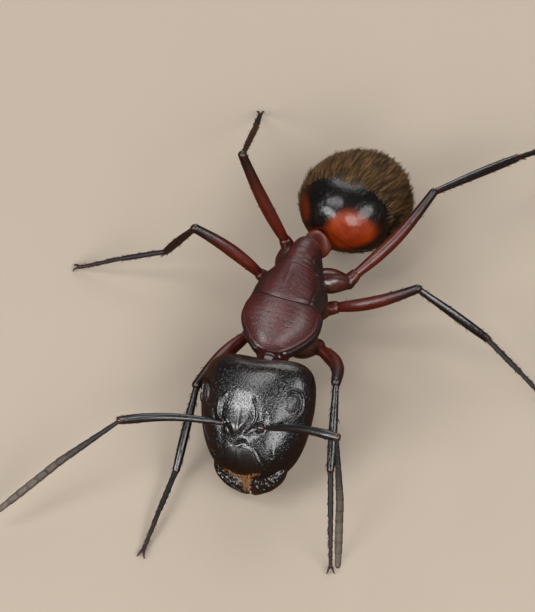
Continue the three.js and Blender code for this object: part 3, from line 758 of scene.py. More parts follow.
def trunkRelief(local):
    # heights over the plain trunk, and painted shade: in its grooves, and on its flanks and underside
    x, y, z = np.moveaxis(local, -1, 0)
    across = np.abs(x)
    degrees = np.degrees(np.arctan2(z, across))
    onShield, behind = 1 - ease(y, -0.62, -0.45), ease(y, -0.45, -0.3)
    outside = ease(across, 0.3, 0.45)
    fromHole = np.hypot(y - 0.87, z - 0.34)  # the rear breathing hole
    rim = z - 0.29 - 0.04 * ramp(-y, 1.4, 2.0)  # the shield's rim runs at one height round the front
    flankLine = across - 0.8 + 0.42 * ramp(y, 0.45, 1.2)  # where the back turns down into the flank
    height = (0.032 * bell(rim, 0.0, 0.05) - 0.05 * bell(rim, -0.12, 0.06)) * onShield
    for rise, place, reach, low, high in trunk["bands"]:
        height += rise * bell(y, place, reach) * ease(z, low, high)
    height -= 0.07 * bell(y, 0.97, 0.16) * bell(degrees, 28, 22)  # waist behind the second plate
    height += 0.035 * bell(x, -0.06, 0.1) * bell(y, 0.25, 0.45) * ease(z, 0.5, 0.8)  # a low keel
    height -= 0.03 * bell(flankLine, 0.03, 0.035) * behind * ease(z, 0.1, 0.3) * (1 - ease(y, 1.2, 1.5))
    height -= 0.035 * bell(y + 0.45 * z, -0.25, 0.04) * ease(-degrees, -10, 15) * behind
    height += 0.05 * bell(y, 1.4, 0.25) * bell(degrees, -30, 14)  # gland bulge
    height -= 0.035 * bell(degrees, -8, 5) * ease(y, 0.5, 0.9)
    height += (0.03 * bell(fromHole, 0.07, 0.028) - 0.05 * bell(fromHole, 0, 0.035)) * outside
    spots = sum(bell(np.hypot(x - spotX, y - spotY), 0, 0.022) for spotX, spotY in trunk["hairSpots"])
    spots = spots * ease(z, 0.3, 0.5)
    # painted shade under the shield's rim, in the waist, along the flank line and in the hair pits
    paintedShade = 0.7 * bell(rim, -0.12, 0.06) * onShield + 0.4 * bell(y, 0.96, 0.06) * ease(z, 0.2, 0.5)
    paintedShade += 0.35 * bell(flankLine, 0.03, 0.05) * behind * ease(z, 0.1, 0.3) + 0.8 * spots
    # painted shade: the flanks, where the back turns down, and the underside go to a near-black brown, all
    # but round the breathing hole
    sideward = ease(flankLine, -0.04, 0.12) * behind + ease(-rim, 0.02, 0.2) * onShield
    brown = sideward * (1 - bell(fromHole, 0.05, 0.05) * outside) + 0.9 * ease(-z, -0.2, 0.3)
    return height - 0.03 * spots, np.clip(paintedShade, 0, 1), np.clip(brown, 0, 1)


def withEnds(values):  # the first and the last row once more
    return np.concatenate([values[:1], values, values[-1:]])


def buildTrunkPlate(first, last, rows, rimHeight):
    # rows run from one suture to the next; both edges roll inwards by a quarter circle and close
    y = first + (last - first) * np.linspace(0, 1, rows)[:, None]
    local = trunkPoints(y, aroundTrunk[None, :])
    height, paintedShade, brown = trunkRelief(local)
    lie = local + gridNormals(local) * height[..., None]
    fromEdge = np.minimum(np.where(first > 0.05 - trunk["halfLength"], y - first, 9),
                          np.where(last < trunk["halfLength"] - 0.05, last - y, 9))
    inset = trunk["lipDepth"] * (1 - np.sqrt(1 - (1 - ramp(fromEdge, 0, trunk["lip"])) ** 2))
    shrink = 1 - inset / np.maximum(np.hypot(lie[..., 0], lie[..., 2]), 0.05)
    raised = rimHeight * bell(y - first, 0.12, 0.045) * ease(lie[..., 2], 0.3, 0.6)
    shaped = lie + gridNormals(lie) * raised[..., None]
    shaped = withEnds(shaped * together(shrink, 1.0, shrink))
    shaped[[0, -1]] *= (0.7, 1, 0.7)  # closes each edge with a flat wall inside
    # painted shade along the sutures at each plate's edges
    paintedShade = np.clip(paintedShade + 0.35 * (1 - ramp(fromEdge, 0, 0.03)), 0, 1)
    return closedSkin(placed(trunkPlace, shaped), lie=withEnds(lie), tint=withEnds(brown),
                      shade=withEnds(paintedShade))


aroundTrunk = evenAngles(200)
firstSuture, secondSuture = firstSutureAt(aroundTrunk), np.full(200, trunk["secondSuture"])
trunkEnd = np.full(200, trunk["halfLength"] - 0.002)
for pieceName, first, last, rows, rimHeight, node in (
        ("pronotumShield", -trunkEnd, firstSuture - trunk["halfGap"], 130, 0, "pronotum"),
        ("mesothorax", firstSuture + trunk["halfGap"], secondSuture - trunk["halfGap"], 110,
         trunk["frontRim"], "mesonotum"),
        ("propodeumShell", secondSuture + trunk["halfGap"], trunkEnd, 110, 0, "propodeum")):
    plateSkin = buildTrunkPlate(first, last, rows, rimHeight)
    makePiece(pieceName, plateSkin, trunkCuticle, "maroon_cuticle", node)


def limbRings(start, end, radii, columns, rows, bow=0.0, bowWay=(0, 0, 1), flat=1.0, relief=None):
    # a round profile along a bowed line (bow times the sine of the way along), its radius a
    # smooth curve through the given ones, and each end closed by a quarter circle
    start, end = np.asarray(start, float), np.asarray(end, float)
    length = np.linalg.norm(end - start)
    first, last = radii[0], radii[-1]
    s = (length + last - first + endToEnd(rows) * (length + first + last)) / 2
    t = np.clip(s / length, 0, 1)
    radius = curveThrough(t, radii)
    for beyond in (np.minimum(s / first, 0), np.maximum((s - length) / last, 0)):
        radius = radius * np.sqrt(np.maximum(1e-4, 1 - beyond ** 2))
    bowed = np.sin(math.pi * t)[:, None] * bow * np.asarray(bowWay, float)
    path = start + s[:, None] * (end - start) / length + bowed
    rings = profileTube(path, radius * flat, radius, columns, (0.0, 0.0, 1.0))
    if relief is not None:
        rings = rings + gridNormals(rings) * relief(s[:, None], evenAngles(columns)[None, :])[..., None]
    return rings, tubeLie(radius, s, columns), t[:, None]


neck = {
    "rear": (0.1, -1.78, -0.16), "front": (-0.02, 1.5, -0.2), "radii": (0.37, 0.34, 0.27, 0.2, 0.19),
    "foldDepth": 0.024, "flat": 1.45,
}


def neckFolds(s, angle):  # a wave under a bell, and a swelling behind the head
    return neck["foldDepth"] * np.cos(s * 22) * bell(s, 0.45, 0.3) + 0.03 * bell(s, 0.3, 0.09)


def buildNeck():
    # a folded limb from inside the trunk's front to inside the head's rear, wider than high
    rear, front = placed(trunkPlace, neck["rear"]), placed(headPlace, neck["front"])
    rings, lie, t = limbRings(rear, front, neck["radii"], columns=72, rows=90, relief=neckFolds,
                              flat=neck["flat"])
    return closedSkin(rings, lie=lie, tint=bell(t, 0.2, 0.25) * 0.25, shade=ease(t, 0.6, 0.95) * 0.7)


makePiece("neckCollar", buildNeck(), collarCuticle, "maroon_cuticle", "neck")

petiole = {
    "middle": (0.2, 2.4, 2.42), "yaw": -15, "pitch": -4, "half": (0.46, 0.2, 0.57),
    "stem": (0.28, 0.26, 0.25, 0.26, 0.28), "stemEnds": ((0, -0.6, -0.25), (0, 0.7, -0.3)),
}
petiolePlace = placeAt(petiole["middle"], petiole["yaw"], petiole["pitch"])


def buildPetiole():
    # the scale: an egg that thins towards a blunt top edge; the stem: a limb through its foot
    along = endToEnd(70)[:, None]
    angle = evenAngles(90)[None, :]
    ring = girth(along, 0.7)
    z = petiole["half"][2] * ring * np.sin(angle)
    x = petiole["half"][0] * ring * np.cos(angle) * (1 - 0.22 * ease(z, 0.0, 0.55))
    y = petiole["half"][1] * along * (1.25 - 0.8 * ease(z, -0.2, 0.55)) + 0.06 * z
    z -= 0.03 * bell(x, 0, 0.2) * ease(z, 0.3, 0.6)
    local = together(x, y, z)
    # painted highlight: the upper front face takes the pinker second colour where it catches the light
    pale = ease(z, 0.0, 0.55) * ease(-along, -0.2, 0.8) * 0.6
    scale = closedSkin(placed(petiolePlace, local), lie=local, tint=pale, shade=ease(-z, 0.1, 0.6) * 0.5)
    ends = placed(petiolePlace, petiole["stemEnds"])
    rings, lie, t = limbRings(*ends, petiole["stem"], columns=48, rows=60)
    return joinSkins([scale, closedSkin(rings, lie=lie, tint=0.0, shade=bell(t, 0.5, 0.3) * 0.4)])


makePiece("petioleScale", buildPetiole(), petioleCuticle, "red_brown_cuticle", "petiole")
print("trunk and petiole shaped")

gaster = {
    "middle": (0.84, 4.58, 2.0), "yaw": -15, "droop": 25, "halfLength": 2.0, "halfWidth": 1.63,
    "rise": 1.34, "depth": 1.45, "pinch": 0.2, "edges": (-0.27, 0.7, 1.32, 1.73), "lip": 0.035,
}
gasterPlace = placeAt(gaster["middle"], gaster["yaw"], -gaster["droop"])


def gasterPoints(y, angle, scale=1.0):
    # girth of an egg whose width is pinched towards the tip by the square of the way there
    along = np.clip(y / gaster["halfLength"], -1, 1)
    ring = girth(along, 0.85) * scale
    width = gaster["halfWidth"] * (1 - gaster["pinch"] * np.maximum(0, along) ** 2)
    height = np.where(np.sin(angle) > 0, gaster["rise"], gaster["depth"])
    return together(width * ring * np.cos(angle), y, height * ring * np.sin(angle))


def buildBelt(number):
    # a belt starts under the one before, swells to its rear edge and curls in behind it; below,
    # the back plates lap over the belly plates in a low step
    isFirst, isLast = number == 0, number == len(gaster["edges"])
    bounds = (-gaster["halfLength"], *gaster["edges"], gaster["halfLength"])
    start, end = bounds[number:number + 2]
    body = (endToEnd(80, 0) + 1) / 2
    if isFirst:
        y, scale = start + 0.004 + (end - start - 0.004) * body, np.ones(80)
    else:
        y = np.concatenate([[start - 0.14, start - 0.1, start - 0.04], start + (end - start) * body])
        scale = np.concatenate([[0.8, 0.93, 0.968], 0.982 + 0.018 * body])
    if isLast:
        y = np.minimum(y, gaster["halfLength"] - 0.004)
    else:
        scale = np.concatenate([scale + 0.006 * ease(y, end - 0.2, end), [1.0, 0.985, 0.965, 0.9]])
        y = np.concatenate([y, end + np.array([0.012, 0.016, 0.008, -0.02])])
    local = gasterPoints(y[:, None], evenAngles(180)[None, :], scale[:, None])
    degrees = np.degrees(np.arctan2(local[..., 2], np.abs(local[..., 0])))
    step = -0.045 * ease(-degrees, 33, 36) * ease(y[:, None], -1.6, -1.1) * (1 - ease(y[:, None], 1.6, 1.85))
    local = local + gridNormals(local) * step[..., None]
    x, z = local[..., 0], local[..., 2]
    # orange red where the front face looks forwards, with a black band to one side of it and a
    # dull red patch beyond; the belts' rear rims are thin enough to glow brown
    big = ease(1 - np.hypot((x - 0.72) / 0.88, (z - 0.02) / (0.9 - 0.25 * ramp(x, 0.4, 1.2))), 0.0, 0.4)
    small = ease(1 - np.hypot((x + 1.1) / 0.5, (z + 0.05) / 0.55), 0.0, 0.6) * 0.6
    tint = (big + small) * ease(-y[:, None], 0.9, 1.5) + 0.3 * ease(-degrees, 30, 40)
    tint = np.clip(tint + (0 if isLast else 0.25) * ease(y[:, None], end - 0.07, end), 0, 1)
    # painted shade along the low step and where the belt starts under the one before
    paintedShade = 0.6 * bell(-degrees, 34, 2) + (0 if isFirst else 0.5) * (1 - ramp(y[:, None] - start, 0, 0.12))
    paintedShade = np.clip(paintedShade, 0, 1)
    return closedSkin(placed(gasterPlace, local), lie=local, tint=tint, shade=paintedShade, coarse=tint)


for number in range(len(gaster["edges"]) + 1):
    makePiece(f"gasterBelt{number + 1}", buildBelt(number), gasterCuticle, "gaster_cuticle",
              f"gaster_{number + 1}")
print("gaster shaped")

legLengths = {  # coxa, femur with trochanter, tibia, tarsus
    "front": (1.0, 3.0, 2.72, 3.0), "middle": (0.87, 3.1, 2.85, 3.1), "hind": (1.0, 3.9, 3.7, 4.0),
}
hips = {"front": (0.55, -1.4, -0.35), "middle": (0.6, 0.1, -0.6), "hind": (0.5, 1.2, -0.7)}
legPoses = {  # bearing and climb of coxa, femur and tibia, and the bearing of the tarsus
    "front_left": ((38, -30), (-62, 33), (-78, -25), -74),
    "front_right": ((60, -42), (-70, 9), (-90, -31), -86),
    "middle_left": ((50, -40), (14, 24), (-3, -35), -28),
    "middle_right": ((64, -10), (-3, 41), (27, -62), -10),
    "hind_left": ((20, -14), (57, 24), (55, -18), 62),
    "hind_right": ((78, -7), (21, 62), (82, -39), 77),
}
legBows = {  # how far and which way each femur bows from the straight, in millimetres
    "front_left": (0.24, 0.08, 0.06), "front_right": (-0.06, 0.0, 0.08), "middle_left": (0.0, -0.1, -0.08),
    "middle_right": (0.0, 0.05, 0.1), "hind_left": (0.12, -0.08, -0.03), "hind_right": (-0.04, -0.05, 0.0),
}
legShape = {  # radii from the near end to the far one, and lengths, in millimetres
    "coxa": (0.34, 0.4, 0.4, 0.33, 0.23), "trochanter": (0.19, 0.22, 0.2), "trochanterLength": 0.3,
    "femur": np.array([0.15, 0.19, 0.212, 0.218, 0.208, 0.19, 0.17, 0.15]),
    "tibia": np.array([0.105, 0.12, 0.138, 0.15, 0.155, 0.15, 0.13]), "tibiaBow": 0.03, "flatness": 0.9,
    "tarsus": 0.1, "tarsusTaper": 0.38, "tarsusJoints": (0.0, 0.5, 0.68, 0.8, 0.89, 1.0), "soleHeight": 0.2,
    "claw": {"length": 0.26, "reach": 0.62, "drop": 0.42, "thickness": 0.038, "apart": 0.04, "spread": 0.09},
    "spur": {"length": 0.42, "sink": 0.05, "thickness": 0.032},
}
femurStoutness = {"front": 1.14, "middle": 1.0, "hind": 1.0}
# painted shade: the coxae, tucked under the trunk, are darkened towards the dark second colour of their
# cuticle, the front pair most
coxaPaintedShade = {"front": 0.8, "middle": 0.5, "hind": 0.5}
spursOut = {"front": (0.6,), "middle": (1, -1), "hind": (1, -1)}
shinWidths = {"middle_right": 0.84, "hind_right": 0.84}  # these two show their narrow side


def legPoints(pair, sideName):
    # the leg's joints, each one length along its heading from the one before, down to the sole
    coxa, femur, tibia, tarsus = legPoses[f"{pair}_{sideName}"]
    side = sides[sideName]
    lengths = legLengths[pair]
    root = placed(trunkPlace, np.array(hips[pair]) * (side, 1, 1))
    hip = root + heading(side, *coxa) * lengths[0]
    start = hip + heading(side, *femur) * legShape["trochanterLength"]
    knee = hip + heading(side, *femur) * lengths[1]
    ankle = knee + heading(side, *tibia) * lengths[2]
    drop = math.degrees(math.asin((ankle[2] - legShape["soleHeight"]) / lengths[3]))
    return root, hip, start, knee, ankle, ankle + heading(side, tarsus, -drop) * lengths[3]


def jointedRadius(t, joints, base, flare=0.22):
    # each segment widens by the flare along its length and pinches at its joint
    n = np.clip(np.searchsorted(joints, t, side="right") - 1, 0, len(joints) - 2)
    joints = np.asarray(joints)
    u = (t - joints[n]) / (joints[n + 1] - joints[n])
    fromJoint = np.minimum(t - joints[n], joints[n + 1] - t)
    return base * (1.02 - flare + flare * u ** 0.8) * (1 - flare * bell(fromJoint, 0, 0.005)), fromJoint


def buildTarsus(ankle, sole):
    # a jointed tube that leaves the ankle straight and lies down along the floor at its end
    columns, rows, clawColumns, clawRows = 22, 260, 10, 14
    t = np.linspace(-0.02, 1.0, rows)
    path = ankle + t[:, None] * (sole - ankle)
    path[:, 2] = np.maximum(path[:, 2] - 0.1 * ease(t, 0.5, 0.95), 0.1)
    radius, fromJoint = jointedRadius(np.clip(t, 0, 1), legShape["tarsusJoints"], legShape["tarsus"])
    radius = radius * (1 - legShape["tarsusTaper"] * ramp(t, 0.1, 1.0))
    radius = radius * np.sqrt(np.maximum(0.02, 1 - ramp(t, 0.97, 1.0) ** 2 * 0.98))
    radius = radius * np.sqrt(ramp(t, -0.03, 0.01))
    rings = profileTube(path, radius, radius * 0.9, columns, (0, 0, 1))
    lie = tubeLie(radius, t * np.linalg.norm(sole - ankle), columns)
    red = np.clip(bell(fromJoint, 0, 0.008) * 0.6 + ease(t, 0.4, 1.0) * 0.4, 0, 1)
    skins = [closedSkin(rings, lie=lie, tint=red[:, None], shade=0.0)]
    # two hooked claws, each a quarter turn and a little more, one to either side of the tip
    forward = unit((sole - ankle) * (1, 1, 0))
    across = np.array([-forward[1], forward[0], 0])
    tip, hook = path[-4], legShape["claw"]
    u = np.linspace(0, 1, clawRows)
    bend = np.radians(100) * u
    thick = hook["thickness"] * (1 - u) ** 0.7 + 0.005
    out = hook["length"] * hook["reach"] * np.sin(bend)
    down = hook["length"] * hook["drop"] * (1 - np.cos(bend))
    for way in (1, -1):
        aside = way * (hook["apart"] + hook["spread"] * u)
        claw = (tip + forward * out[:, None] + across * aside[:, None]
                - np.array([0, 0, 1]) * down[:, None] + (0, 0, 0.03))
        claw[:, 2] = np.maximum(claw[:, 2], 0.012)
        clawRings = profileTube(claw, thick, thick, clawColumns, across)
        skins.append(closedSkin(clawRings, lie=clawRings - tip, tint=0.55, shade=0.0))
    return joinSkins(skins), path, radius


def buildSpur(ankle, way):
    # a spine that sinks by the square of the way along and thins to a point
    u = np.linspace(0, 1, 12)
    spur = legShape["spur"]
    spine = ankle + way * (u * spur["length"])[:, None]
    spine[:, 2] -= spur["sink"] * u ** 2
    thick = spur["thickness"] * (1 - u) ** 0.6 + 0.004
    rings = profileTube(spine, thick, thick, 10, (0.3, 0.2, 0.9))
    return closedSkin(rings, lie=rings - ankle, tint=0.9, shade=0.0)


def coxaGroove(s, angle):  # a furrow all along the coxa, a bell over the cosine round it
    return -0.02 * bell(np.cos(angle), 0.3, 0.12)


# rings to plant with bristles: how many, their length and thickness, and from where to where
bristled = []


def buildLeg(pair, sideName):
    # hip, ring joint, thigh, shin with its spurs, and foot, from one joint of the leg to the next
    end, title = f"{pair}_{sideName}", pair.title() + sideName.title()
    root, hip, start, knee, ankle, sole = legPoints(pair, sideName)
    rings, lie, t = limbRings(root, hip, legShape["coxa"], columns=44, rows=60, relief=coxaGroove)
    coxa = closedSkin(rings, lie=lie, tint=coxaPaintedShade[pair], shade=bell(t, 1.0, 0.12) * 0.5)
    makePiece(f"coxa{title}", coxa, hipCuticle, "red_brown_cuticle", f"coxa_{end}")

    rings, lie, t = limbRings(hip, start, legShape["trochanter"], columns=32, rows=30)
    trochanter = closedSkin(rings, lie=lie, tint=0.0, shade=bell(t, 0.5, 0.2) * 0.3)
    makePiece(f"trochanter{title}", trochanter, legCuticle, "red_brown_cuticle", f"trochanter_{end}")

    radii = legShape["femur"] * femurStoutness[pair]
    rings, lie, t = limbRings(start, knee, radii, columns=40, rows=110, bow=1.0, bowWay=legBows[end],
                              flat=legShape["flatness"])
    femur = closedSkin(rings, lie=lie, tint=ease(t, 0.45, 0.95) * 0.9, shade=0.0)
    makePiece(f"femur{title}", femur, legCuticle, "red_brown_cuticle", f"femur_{end}")
    bristled.append((rings, 26, 0.13, 0.011, (0.1, 0.95)))

    slim = shinWidths.get(end, 1.0)
    rings, lie, t = limbRings(knee, ankle, legShape["tibia"] * slim, columns=36, rows=110,
                              bow=legShape["tibiaBow"], flat=legShape["flatness"] * slim)
    shin = closedSkin(rings, lie=lie, tint=bell(t, 0.0, 0.06) * 0.9 + bell(t, 1.0, 0.03) * 0.5, shade=0.0)
    along = unit(ankle - knee)
    outwards = np.cross(along, (0, 0, 1)) * 0.35
    spurs = [buildSpur(ankle, unit(along + outwards * out - (0, 0, 0.2))) for out in spursOut[pair]]
    makePiece(f"tibia{title}", joinSkins([shin] + spurs), shinCuticle, "dark_cuticle", f"tibia_{end}")
    bristled.append((rings, 46, 0.15, 0.011, (0.08, 1.0)))

    tarsus, path, radius = buildTarsus(ankle, sole)
    makePiece(f"tarsus{title}", tarsus, toeCuticle, "dark_cuticle", f"tarsus_{end}")
    bristled.append((profileTube(path, radius, radius, 12, (0, 0, 1)), 90, 0.1, 0.012, (0.03, 0.97)))


for sideName in sides:
    for pair in legLengths:
        buildLeg(pair, sideName)
print("legs shaped")

feelerPoses = {  # bearing and climb of the scape and of the whip before and after its bend
    "left": {"scape": (-12, 27), "whip": ((-72, -2), (-76, -3)), "lengths": (2.9, 2.25, 2.3), "bow": 0.2},
    "right": {"scape": (-15, 1), "whip": ((-45, -19), (-49, -21)), "lengths": (3.22, 2.25, 2.5), "bow": 0.24},
}
feeler = {
    "socket": (0.62, -0.25, 0.88), "scape": (0.065, 0.1, 0.112, 0.12, 0.128, 0.138, 0.145, 0.13),
    "ball": (0.115, 0.1), "whipRadius": 0.125, "flare": 0.1, "whipLength": 4.5,
    "joints": (0.0, 0.14, 0.235, 0.325, 0.41, 0.495, 0.58, 0.66, 0.74, 0.82, 0.895, 1.0),
}


def buildWhip(elbow, bend, tip, first, last, rows):
    # one length of the whip: a jointed tube along the bent line, from one share of it to another
    t = np.linspace(first, last, rows)
    share = np.linalg.norm(bend - elbow) / (np.linalg.norm(bend - elbow) + np.linalg.norm(tip - bend))
    before = elbow + (bend - elbow) * (t / share)[:, None]
    after = bend + (tip - bend) * ((t - share) / (1 - share))[:, None]
    path = before + (after - before) * ease(t, share - 0.12, share + 0.12)[:, None]
    radius, fromJoint = jointedRadius(t, feeler["joints"], feeler["whipRadius"], feeler["flare"])
    radius = radius * (0.5 + 0.5 * ease(t, -0.1, 0.55)) * (1 - 0.25 * ease(t, 0.8, 1.0))
    radius = radius * np.sqrt(np.maximum(0.01, 1 - ramp(t, 0.965, 1.0) ** 2 * 0.99))
    rings = profileTube(path, radius, radius, 26, (0, 0, 1))
    pale = np.clip(ease(t, 0.15, 0.8) * 0.8 + bell(fromJoint, 0, 0.004) * 0.25, 0, 1)
    joint = 0.5 * bell(fromJoint, 0.004, 0.005)
    lie = tubeLie(radius, t * feeler["whipLength"], 26)
    return closedSkin(rings, lie=lie, tint=pale[:, None], shade=joint[:, None])


for sideName, side in sides.items():
    pose = feelerPoses[sideName]
    socket = placed(headPlace, np.array(feeler["socket"]) * (side, 1, 1))
    elbow = socket + heading(side, *pose["scape"]) * pose["lengths"][0]
    bend = elbow + heading(side, *pose["whip"][0]) * pose["lengths"][1]
    tip = bend + heading(side, *pose["whip"][1]) * pose["lengths"][2]
    scapeWay = unit(elbow - socket)
    rings, lie, t = limbRings(socket + scapeWay * 0.12, elbow, feeler["scape"], columns=36, rows=120,
                              bow=pose["bow"])
    scape = closedSkin(rings, lie=lie, tint=bell(t, 0.0, 0.035) * 0.5 + bell(t, 1.0, 0.02) * 0.7, shade=0.0)
    makePiece(f"scape{sideName.title()}", scape, feelerCuticle, "dark_cuticle", f"scape_{sideName}")
    bristled.append((rings, 60, 0.09, 0.01, (0.05, 1.0)))
    ends = socket - scapeWay * 0.04, socket + scapeWay * 0.05
    rings, lie, t = limbRings(*ends, feeler["ball"], columns=32, rows=30)
    ball = closedSkin(rings, lie=lie, tint=0.2, shade=0.3)
    makePiece(f"socketBall{sideName.title()}", ball, collarCuticle, "dark_cuticle")
    split = feeler["joints"][6]
    for n, (first, last, rows) in enumerate(((0.0, split, 200), (split + 0.001, 1.0, 160))):
        makePiece(f"whip{sideName.title()}{n + 1}", buildWhip(elbow, bend, tip, first, last, rows),
                  whipCuticle, "dark_cuticle", f"funiculus_{sideName}_{n + 1}")
print("feelers shaped")


patchSize = 0.003  # of each hair on the unwrapped skin, which is 1 across


def hairSkin(roots, normals, lies, lengths, lifts, thickness, homes, tints, curl=0.12):
    # each hair is a three-sided spike of three rings and a tip along
    # root + length * (t * way - curl * t^2 * normal), its way lifted off the lie by an angle
    count = len(roots)
    t = np.array([0, 0.38, 0.72, 1.0])
    way = np.cos(lifts)[:, None] * lies + np.sin(lifts)[:, None] * normals
    path = roots[:, None] + lengths[:, None, None] * (
        t[:, None] * way[:, None] - curl * t[:, None] ** 2 * normals[:, None])
    across = unit(np.cross(way, normals + 1e-6))
    over = np.cross(across, way)
    angle = evenAngles(3)
    width = thickness[:, None] * np.array([1.0, 0.85, 0.55])
    c, s = np.cos(angle)[:, None], np.sin(angle)[:, None]
    rings = path[:, :3, None] + width[..., None, None] * (c * across[:, None, None] + s * over[:, None, None])
    points = np.concatenate([rings.reshape(count, 9, 3), path[:, 3:]], 1)
    base = np.arange(count)[:, None, None] * 10
    quads = np.array([[r * 3 + k, r * 3 + (k + 1) % 3, r * 3 + 3 + (k + 1) % 3, r * 3 + 3 + k]
                      for r in (0, 1) for k in range(3)])
    fans = np.array([[6, 7, 9], [7, 8, 9], [8, 6, 9], [2, 1, 0]])
    reach = np.repeat(t, [3, 3, 3, 1])
    patch = np.stack([np.r_[np.tile([-0.4, 0.0, 0.4], 3), 0.0], reach - 0.5], -1) * patchSize
    return {
        "points": points.reshape(-1, 3),
        "quads": (quads + base).reshape(-1, 4), "fans": (fans + base).reshape(-1, 3),
        "home": (np.clip(homes, patchSize, 1 - patchSize)[:, None] + patch[None]).reshape(-1, 2),
        "tint": (tints[:, None] * (0.35 + 0.65 * reach)[None]).reshape(-1),
    }


coatThickness, lockPull = 0.0088, 0.35  # the second is the share that the lock has in a hair's lie
coat = {
    "gasterCoat": {"count": 11500, "length": 0.38, "lift": 15, "clumps": 1500, "pale": 0.7},
    "gasterGuardHair": {"count": 9000, "length": 0.5, "lift": 24, "clumps": 1300, "pale": 1.3},
}


def coatFrom(x):  # how far forwards the coat reaches, further on the ant's right
    return -1.15 + 0.4 * ramp(x, 0.0, 1.1)


def buildGasterCoat(layer):
    # hairs all over the belts behind the bare front, leaning to the rear and drawn together in
    # narrow locks: each aims at the tip of the nearest lock and takes its colour
    count = layer["count"]
    y = chance.uniform(-1.3, gaster["halfLength"] * 0.985, count * 2)
    angle = chance.uniform(0, 2 * np.pi, count * 2)
    keep = chance.random(count * 2) < girth(y / gaster["halfLength"], 0.85)
    keep &= y > coatFrom(gasterPoints(y, angle)[:, 0]) + chance.normal(0, 0.05, count * 2)
    keep &= chance.random(count * 2) < 1 - 0.5 * ease(-np.sin(angle), 0.2, 0.7)
    y, angle = y[keep][:count], angle[keep][:count]
    at = gasterPoints(y, angle, 0.99)
    ahead = gasterPoints(y + 0.02, angle, 0.99)
    aside = gasterPoints(y, angle + 0.01, 0.99)
    lie = unit(ahead - at)
    normal = unit(np.cross(lie, aside - at))
    normal *= np.sign((normal * (at - (0, 1, 0) * at)).sum(-1, keepdims=True))
    seeds = chance.choice(len(y), layer["clumps"], replace=False)
    long = at * (1, 0.25, 1)  # a lock is longer than wide
    nearest = seeds[np.concatenate([((part[:, None] - long[seeds][None]) ** 2).sum(-1).argmin(1)
                                    for part in np.array_split(long, 8)])]
    lockTip = at[nearest] + lie[nearest] * layer["length"]
    lie = unit(lie * (1 - lockPull) + unit(lockTip - at) * lockPull + chance.normal(0, 0.05, lie.shape))
    lie = unit(lie - normal * (lie * normal).sum(-1, keepdims=True))
    n = len(y)
    lengths = layer["length"] * chance.uniform(0.65, 1.15, n)
    lengths = lengths * (0.6 + 0.4 * ease(y - coatFrom(at[:, 0]), 0, 0.4))  # short at the coat's edge
    clumpLift = chance.normal(0, 5, n)[nearest]
    lifts = np.radians(np.clip(layer["lift"] + clumpLift + chance.normal(0, 4, n), 6, 60))
    homes = np.stack([angle / (2 * np.pi), (y / gaster["halfLength"] + 1) / 2], -1)
    clumpTint = chance.random(n)[nearest]
    tints = np.clip(layer["pale"] * clumpTint ** 2 + 0.3 * chance.random(n), 0.05, 1)
    turn = gasterPlace[0].T
    return hairSkin(placed(gasterPlace, at), normal @ turn, lie @ turn, lengths, lifts,
                    coatThickness * chance.uniform(0.8, 1.2, n), homes, tints)


for layerName, layer in coat.items():
    makePiece(layerName, buildGasterCoat(layer), gasterHair, "hair")


def buildBristles(sources):
    # short bristles on legs and feelers: roots at random on each tube, leaning to its far end
    parts = []
    for number, (rings, count, length, thick, (start, stop)) in enumerate(sources):
        normals = gridNormals(rings)
        rows, columns = rings.shape[:2]
        i = (chance.uniform(start, stop, count) * (rows - 2)).astype(int)
        j = chance.integers(0, columns, count)
        ahead = unit(rings[i + 1, j] - rings[i, j])
        homes = np.stack([(number % 8 + j / columns) / 8, (number // 8 + i / rows) / 8], -1)
        parts.append(hairSkin(rings[i, j], normals[i, j], ahead, length * chance.uniform(0.7, 1.2, count),
                              np.radians(chance.uniform(18, 38, count)), np.full(count, thick), homes,
                              chance.uniform(0.2, 1, count), 0.1))
    return joinSkins(parts)


makePiece("limbBristles", buildBristles(bristled), darkHair, "hair")


fringe = {
    "rowCount": 60, "rowLength": 0.17, "tuftCount": 90, "tuftLength": 0.26, "thickness": 0.0105,
    "jawsAt": -1.62,
}


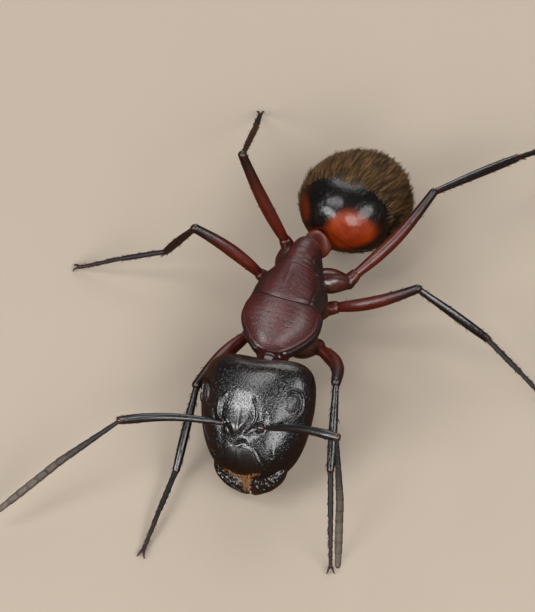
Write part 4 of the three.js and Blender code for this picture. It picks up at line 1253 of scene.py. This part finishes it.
def buildFaceFringe():
    # amber bristles along the front edge of the clypeus, and a tuft between the jaws that narrows
    # towards their tips
    n = fringe["rowCount"]
    s = np.linspace(-0.85, 0.85, n) + chance.normal(0, 0.03, n)
    x = s * plate["frontHalfWidth"]
    y = plate["front"] - plate["bulge"] * (1 - s ** 2) + 0.05 + chance.uniform(0, 0.05, n)
    z = skullTop(x, np.full(n, fringe["jawsAt"])) + 0.62 * (y - fringe["jawsAt"]) - 0.02
    roots = together(x, y, z)
    way = unit(together(chance.normal(0, 0.45, n) - 0.7 * s, -1.0, chance.uniform(-0.7, -0.2, n)))
    m = fringe["tuftCount"]
    down = chance.random(m) ** 1.3
    tuftX = chance.uniform(-1, 1, m) * (0.26 - 0.22 * down)
    tuftRoots = together(tuftX, -1.7 - 0.4 * down, 0.33 - 0.3 * down)
    tuftWay = unit(together(chance.normal(0, 0.3, m), -1.0, chance.uniform(-0.5, 0.3, m)))
    roots, way = np.concatenate([roots, tuftRoots]), np.concatenate([way, tuftWay])
    normal = unit(np.cross(np.cross(way, (0, 0, 1.0)), way))
    total = n + m
    lengths = np.repeat([fringe["rowLength"], fringe["tuftLength"]], [n, m])
    lengths = lengths * chance.uniform(0.5, 1.25, total)
    homes = np.stack([0.5 + roots[:, 0] / 4, 0.5 + roots[:, 1] / 5], -1)
    turn = headPlace[0].T
    return hairSkin(placed(headPlace, roots), normal @ turn, way @ turn, lengths, np.zeros(total),
                    np.full(total, fringe["thickness"]), homes, chance.uniform(0.4, 1, total))


makePiece("faceFringe", buildFaceFringe(), amberHair, "hair")
print("hairs planted")

floorMesh = bpy.data.meshes.new("floor")
half = ground["size"] * metre / 2
floorCorners = [(x * half, y * half, 0) for x, y in ((-1, -1), (1, -1), (1, 1), (-1, 1))]
floorMesh.from_pydata(floorCorners, [], [(0, 1, 2, 3)])
floor = bpy.data.objects.new("floor", floorMesh)
scene.collection.objects.link(floor)
floorMaterial = bpy.data.materials.new("mattPaper")
floorTree = newTree(floorMaterial)
# the camera sees pale paper, and the ant's polish sees the brown of a wooden bench
seen = addNode(floorTree, "LightPath").outputs["Is Camera Ray"]
tone = addNode(floorTree, "Mix", {
    "data_type": "RGBA", 0: seen, 6: linear(ground["woodColour"]), 7: linear(ground["colour"])})
paper = addNode(floorTree, "BsdfPrincipled", {
    "Roughness": 0.9, "Specular IOR Level": 0.2, "Base Color": tone.outputs[2]})
addNode(floorTree, "OutputMaterial", {"Surface": paper})
floorMesh.materials.append(floorMaterial)
